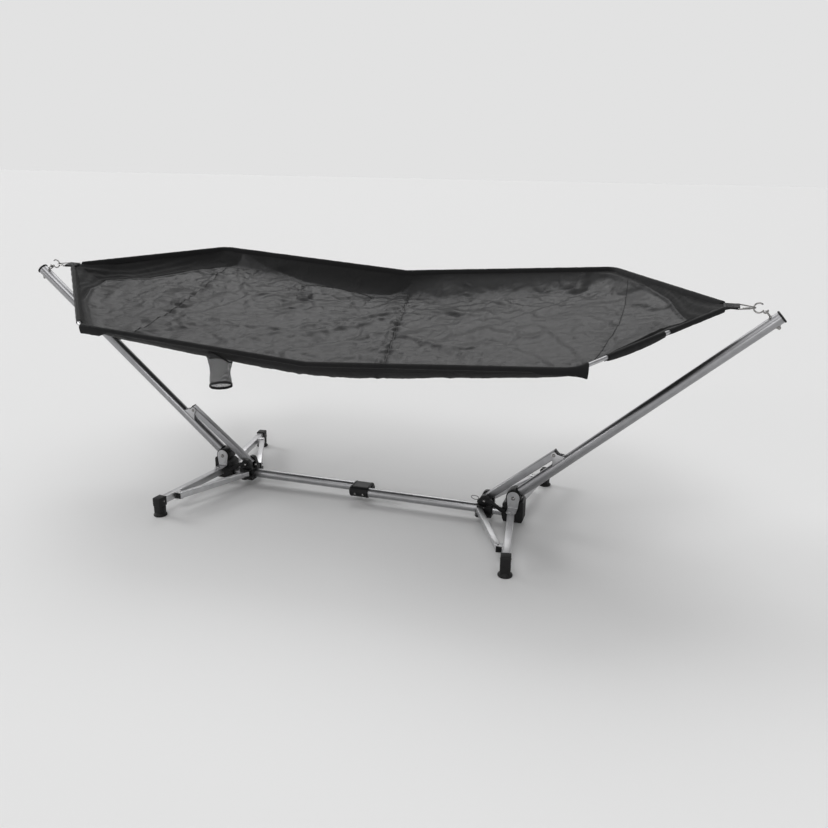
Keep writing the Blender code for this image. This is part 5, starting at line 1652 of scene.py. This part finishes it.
def make_strap(side):
    """Webbing looped round the link's bar, spread and sewn over the bed's end."""
    sx = WAY[side]
    thick = 0.0016
    outer = LINK_WIRE_R + GAP + thick / 2
    tail = LINK_BAR - 0.040
    seat = 0.0024
    upper = [(tail - 0.004, seat * 0.8), (tail + 0.006, seat), (LINK_BAR - 0.016, seat),
             (LINK_BAR - 0.008, outer * 0.95)]
    lower = [(x, -z) for x, z in reversed(upper)]
    line = upper + arc(LINK_BAR, 0, outer, 90, -90, 12) + lower
    line = [(p.x, p.y) for p in smooth_path([(x, z, 0) for x, z in line])]
    bm = bmesh.new()
    flat = bm.loops.layers.uv.new("flat")
    grid = []
    columns = 16
    run = 0.0
    runs = []
    for number, (x, z) in enumerate(line):
        if number:
            run += hypot(x - line[number - 1][0], z - line[number - 1][1])
        runs.append(run)
        wide = STRAP_HALF * (1.0 + 0.10 * clamp((LINK_BAR - 0.018 - x) / 0.02))
        row = []
        for c in range(columns + 1):
            y = wide * (-1 + 2 * c / columns)
            row.append(bm.verts.new((sx * x, y, z + 0.0003 * wave(x * 80, y * 60, 41.0))))
        grid.append(row)
    add_quads(bm, grid, flat, sx < 0, lambda i, j: (runs[i], 2 * STRAP_HALF * j / columns))
    strap = finish_slung(bm, f"end_strap_{side}", WEBBING, [f"strap_{side}"], 60, False,
                         thick)
    bm = bmesh.new()
    left, right = tail + 0.003, LINK_BAR - 0.015
    top = seat + 0.0009
    box = STRAP_HALF - 0.0035
    for x0, y0, x1, y1 in ((left, -box, right, -box), (left, box, right, box),
                           (left, -box, left, box), (right, -box, right, box),
                           (left, -box, right, box), (left, box, right, -box)):
        for z in (top, -top):
            stitch_row(bm, [(sx * x0, y0, z), (sx * x1, y1, z)], 0.0030, 0.0004)
    finish_slung(bm, f"strap_stitches_{side}", THREAD, (), 30, False)
    return strap


# Bottle net and pocket on the left half

NET_X = -0.330
NET_IN = 0.052
NET_TOP_R = 0.0400
NET_BOTTOM_R = 0.0350
NET_DEPTH = 0.149
NET_PLACE = at(NET_X, -BED_HALF + NET_IN, pole_height(NET_X)) \
    @ Matrix.Rotation(-TILT, 4, "X")


def net_radius(share, turn):
    waist = 0.0050 * sin(pi * min(1.0, share * 1.15)) ** 2
    flare = 0.0016 * max(0.0, (share - 0.9) / 0.1)
    base = NET_TOP_R + (NET_BOTTOM_R - NET_TOP_R) * share
    return base - waist + flare + 0.0009 * sin(3 * turn + 4 * share) * (1 - share)


def net_point(turn, share):
    """A point of the tube, whose rim follows the cloth's slope."""
    place = NET_PLACE.inverted()
    r = net_radius(share, turn)
    spot = NET_PLACE @ Vector((r * cos(turn), r * sin(turn), 0))
    rim = (place @ Vector((spot.x, spot.y, floor_place(spot.x, spot.y)))).z - 0.001
    bottom = 0.004 - NET_DEPTH
    return Vector((r * cos(turn), r * sin(turn), rim + (bottom - rim) * share))


def make_net():
    around = 72
    down = 24
    bm = bmesh.new()
    flat = bm.loops.layers.uv.new("flat")
    grid = []
    for j in range(down + 1):
        grid.append([bm.verts.new(net_point(2 * pi * i / around, j / down)) for i in range(around)])
    for j in range(down):
        for i in range(around):
            k = (i + 1) % around
            face = bm.faces.new([grid[j][i], grid[j][k], grid[j + 1][k], grid[j + 1][i]])
            for loop, (a, b) in zip(face.loops, ((i, j), (i + 1, j), (i + 1, j + 1), (i, j + 1))):
                loop[flat].uv = (a / around, b / down)
    place = BED_PLACE @ NET_PLACE
    net = finish_slung(bm, "bottle_net_mesh", NET, ["bottle_net"], 180, False, place=place)
    bm = bmesh.new()
    bm.loops.layers.uv.new("flat")
    turns = [2 * pi * i / 60 for i in range(60)]
    rise = Vector((0, 0, 0.0022))
    add_hem(bm, [net_point(turn, 1.0) for turn in turns], 0.0012, 0.0075)
    add_hem(bm, [net_point(turn, 0.0) + rise for turn in turns], 0.0014, 0.0045)
    hem = finish_slung(bm, "bottle_net_hems", SLEEVE_CLOTH_AND_UNDERSIDE_SHADE, (), 60, place=place)
    return net, hem


def add_hem(bm, points, thick, tall):
    """A folded cloth binding round a closed loop of points."""
    section = [(thick, -tall / 2), (thick, tall / 2), (0.4 * thick, tall / 2 + thick * 0.6),
               (-0.4 * thick, tall / 2 + thick * 0.6), (-thick, tall / 2), (-thick, -tall / 2),
               (-0.4 * thick, -tall / 2 - thick * 0.6), (0.4 * thick, -tall / 2 - thick * 0.6)]
    rings = []
    for p in points:
        out = Vector((p.x, p.y, 0)).normalized()
        ripple = 0.0006 * sin(atan2(p.y, p.x) * 9)
        rings.append([bm.verts.new(p + out * (a + ripple) + Vector((0, 0, b))) for a, b in section])
    for first, second in zip(rings, rings[1:] + rings[:1]):
        for a in range(len(section)):
            b = (a + 1) % len(section)
            bm.faces.new([first[a], first[b], second[b], second[a]])


POCKET_START = -0.398
POCKET_END = -0.100
POCKET_TOP = 0.344
POCKET_BOTTOM = 0.232
POCKET_OPEN = 0.018


def make_pocket():
    """A patch sewn on the floor beside the far wall, its upper edge standing open."""
    bm = bmesh.new()
    flat = bm.loops.layers.uv.new("flat")
    # The pocket patch carries no side colour and no painted wall shade.
    bm.verts.layers.float.new("side_cloth_and_wall_shade")
    columns, rows = 72, 30
    grid = []
    for i in range(columns + 1):
        u = i / columns
        x = POCKET_START + (POCKET_END - POCKET_START) * u
        line = []
        for j in range(rows + 1):
            v = j / rows
            y = POCKET_BOTTOM + (POCKET_TOP - POCKET_BOTTOM) * v
            mouth = sin(pi * u) ** 0.7 * v ** 1.6
            sew = min(1.0, 12 * u, 12 * (1 - u), 8 * v)
            ripple = 0.0008 * wave(x * 30, y * 30, 51.0)
            lift = 0.0002 + 0.0014 * sew + POCKET_OPEN * mouth + ripple * sew
            spot = Vector((x, y - 0.35 * POCKET_OPEN * mouth, floor_place(x, y) + lift))
            line.append(bm.verts.new(spot))
        grid.append(line)
    add_quads(bm, grid, flat, False,
              lambda i, j: (POCKET_START + (POCKET_END - POCKET_START) * i / columns,
                            POCKET_BOTTOM + (POCKET_TOP - POCKET_BOTTOM) * j / rows))
    top_edge = [line[rows].co.copy() for line in grid]
    sewn = grid[0][::-1] + [line[0] for line in grid[1:]] + grid[columns][1:]
    border = [v.co.copy() for v in sewn]
    patch = finish_slung(bm, "book_pocket_patch", [BED_CLOTH, SLEEVE_CLOTH_AND_UNDERSIDE_SHADE],
                         ["book_pocket"], 180, False, 0.0008)
    bm = bmesh.new()
    add_wire(bm, top_edge, 0.0017, 10)
    for x_shift, spot in ((-0.004, top_edge[0]), (0.004, top_edge[-1])):
        add_block(bm, (-0.007, -0.0045, -0.0012), (0.007, 0.0045, 0.0012), 0.0008, 2,
                  Matrix.Translation(spot + Vector((x_shift, 0.002, 0.001))))
    bind = finish_slung(bm, "book_pocket_binding", SLEEVE_CLOTH_AND_UNDERSIDE_SHADE, (), 40)
    bm = bmesh.new()
    centre = sum(border, Vector()) / len(border)
    stitch_row(bm, [p + Vector(((centre - p).x * 0.02, (centre - p).y * 0.03, 0.0004))
                    for p in border])
    thread = finish_slung(bm, "book_pocket_stitches", POCKET_THREAD, (), 30, False)
    return patch, [bind, thread]


# Everything together

make_coupler()
for side in ("right", "left"):
    make_rail(side)
    make_hub(side)
    make_arm(side)
    make_strut(side)
    make_slider(side)
    make_pin(side)
    make_latch(side)
    near = -WAY[side]
    for depth_name, sy in (("near", near), ("far", -near)):
        make_cheek(side, depth_name, sy)
        make_leg(side, depth_name, sy)
        make_brace(side, depth_name, sy)
    make_bed(side)
    for depth_name, sy in (("near", -1), ("far", 1)):
        make_pole(side, depth_name, sy)
    make_sleeves(side)
    edge_stitches(side)
    make_link(side)
    make_strap(side)
net, net_hems = make_net()
pocket, pocket_trim = make_pocket()


# Studio: a pale floor, soft light and the camera

FLOOR_HALF = 40.0
FLOOR_Z = -0.0005
SENSOR_WIDTH = 36.0


def make_floor():
    bm = bmesh.new()
    bmesh.ops.create_grid(bm, x_segments=2, y_segments=2, size=FLOOR_HALF)
    mesh = bpy.data.meshes.new("studio_floor")
    bm.to_mesh(mesh)
    bm.free()
    floor = bpy.data.objects.new("studio_floor", mesh)
    bpy.context.scene.collection.objects.link(floor)
    mesh.materials.append(new_finish("pale_paper", Base_Color=(0.80, 0.80, 0.80, 1.0),
                                     Roughness=0.8)[0])
    floor.location.z = FLOOR_Z


def aim(lamp, place, target):
    bpy.context.scene.collection.objects.link(lamp)
    lamp.location = place
    way = Vector(target) - Vector(place)
    lamp.rotation_euler = way.to_track_quat("-Z", "Y").to_euler()


def make_sky_light(name, strength, spread, place):
    data = bpy.data.lights.new(name, "SUN")
    data.energy = strength
    data.angle = radians(spread)
    aim(bpy.data.objects.new(name, data), place, (0, 0, 0))


def make_world():
    """Pale near the horizon, bright overhead and behind, dim at the front above the horizon."""
    world = bpy.data.worlds.new("studio")
    bpy.context.scene.world = world
    world.use_nodes = True
    tree = world.node_tree
    place = new_node(tree, "TexCoord").outputs["Generated"]
    split = new_node(tree, "SeparateXYZ", Vector=place)
    front = ramp_node(tree, split.outputs["Z"],
                      [(0.0, 0.76), (0.22, 0.76), (0.34, 0.28), (0.78, 0.28), (0.90, 0.90)])
    back = ramp_node(tree, split.outputs["Z"],
                     [(0.0, 0.76), (0.22, 0.76), (0.36, 0.80), (0.48, 0.24), (0.78, 0.24),
                      (0.92, 0.90)])
    depth_share = ramp_node(tree, split.outputs["Y"], [(0.05, 0.0), (0.45, 1.0)])
    set_inputs(tree, tree.nodes["Background"], Strength=1.0,
               Color=mix_node(tree, depth_share, front, back))


CAMERA_PLACE = (1.0552, -2.7258, 1.2657)
CAMERA_YAW = radians(-17.35)
CAMERA_PITCH = radians(17.54)
CAMERA_ROLL = radians(0.70)
FOCAL_SHARE = 826.03 / 828


def make_camera():
    data = bpy.data.cameras.new("studio_camera")
    data.sensor_width = SENSOR_WIDTH
    data.lens = SENSOR_WIDTH * FOCAL_SHARE
    camera = bpy.data.objects.new("studio_camera", data)
    bpy.context.scene.collection.objects.link(camera)
    forward = Vector((sin(CAMERA_YAW) * cos(CAMERA_PITCH), cos(CAMERA_YAW) * cos(CAMERA_PITCH),
                      -sin(CAMERA_PITCH)))
    level = Vector((cos(CAMERA_YAW), -sin(CAMERA_YAW), 0))
    up = level.cross(forward)
    right = cos(CAMERA_ROLL) * level + sin(CAMERA_ROLL) * up
    top = -sin(CAMERA_ROLL) * level + cos(CAMERA_ROLL) * up
    turn = Matrix((right, top, -forward)).transposed()
    camera.matrix_world = Matrix.Translation(CAMERA_PLACE) @ turn.to_4x4()
    bpy.context.scene.camera = camera
    bpy.context.scene.view_settings.view_transform = "Standard"


make_floor()
make_world()
make_sky_light("high_back_light", 0.70, 36.0, (-0.30, 0.80, 1.0))
make_sky_light("high_front_light", 0.45, 26.0, (-0.10, -0.55, 0.85))
make_sky_light("low_left_light", 0.80, 18.0, (-1.0, 0.20, 0.46))
make_sky_light("front_streak_light", 0.30, 8.0, (0.22, -0.90, 0.38))
make_sky_light("left_streak_light", 0.16, 9.0, (-0.75, -0.60, 0.30))
make_camera()
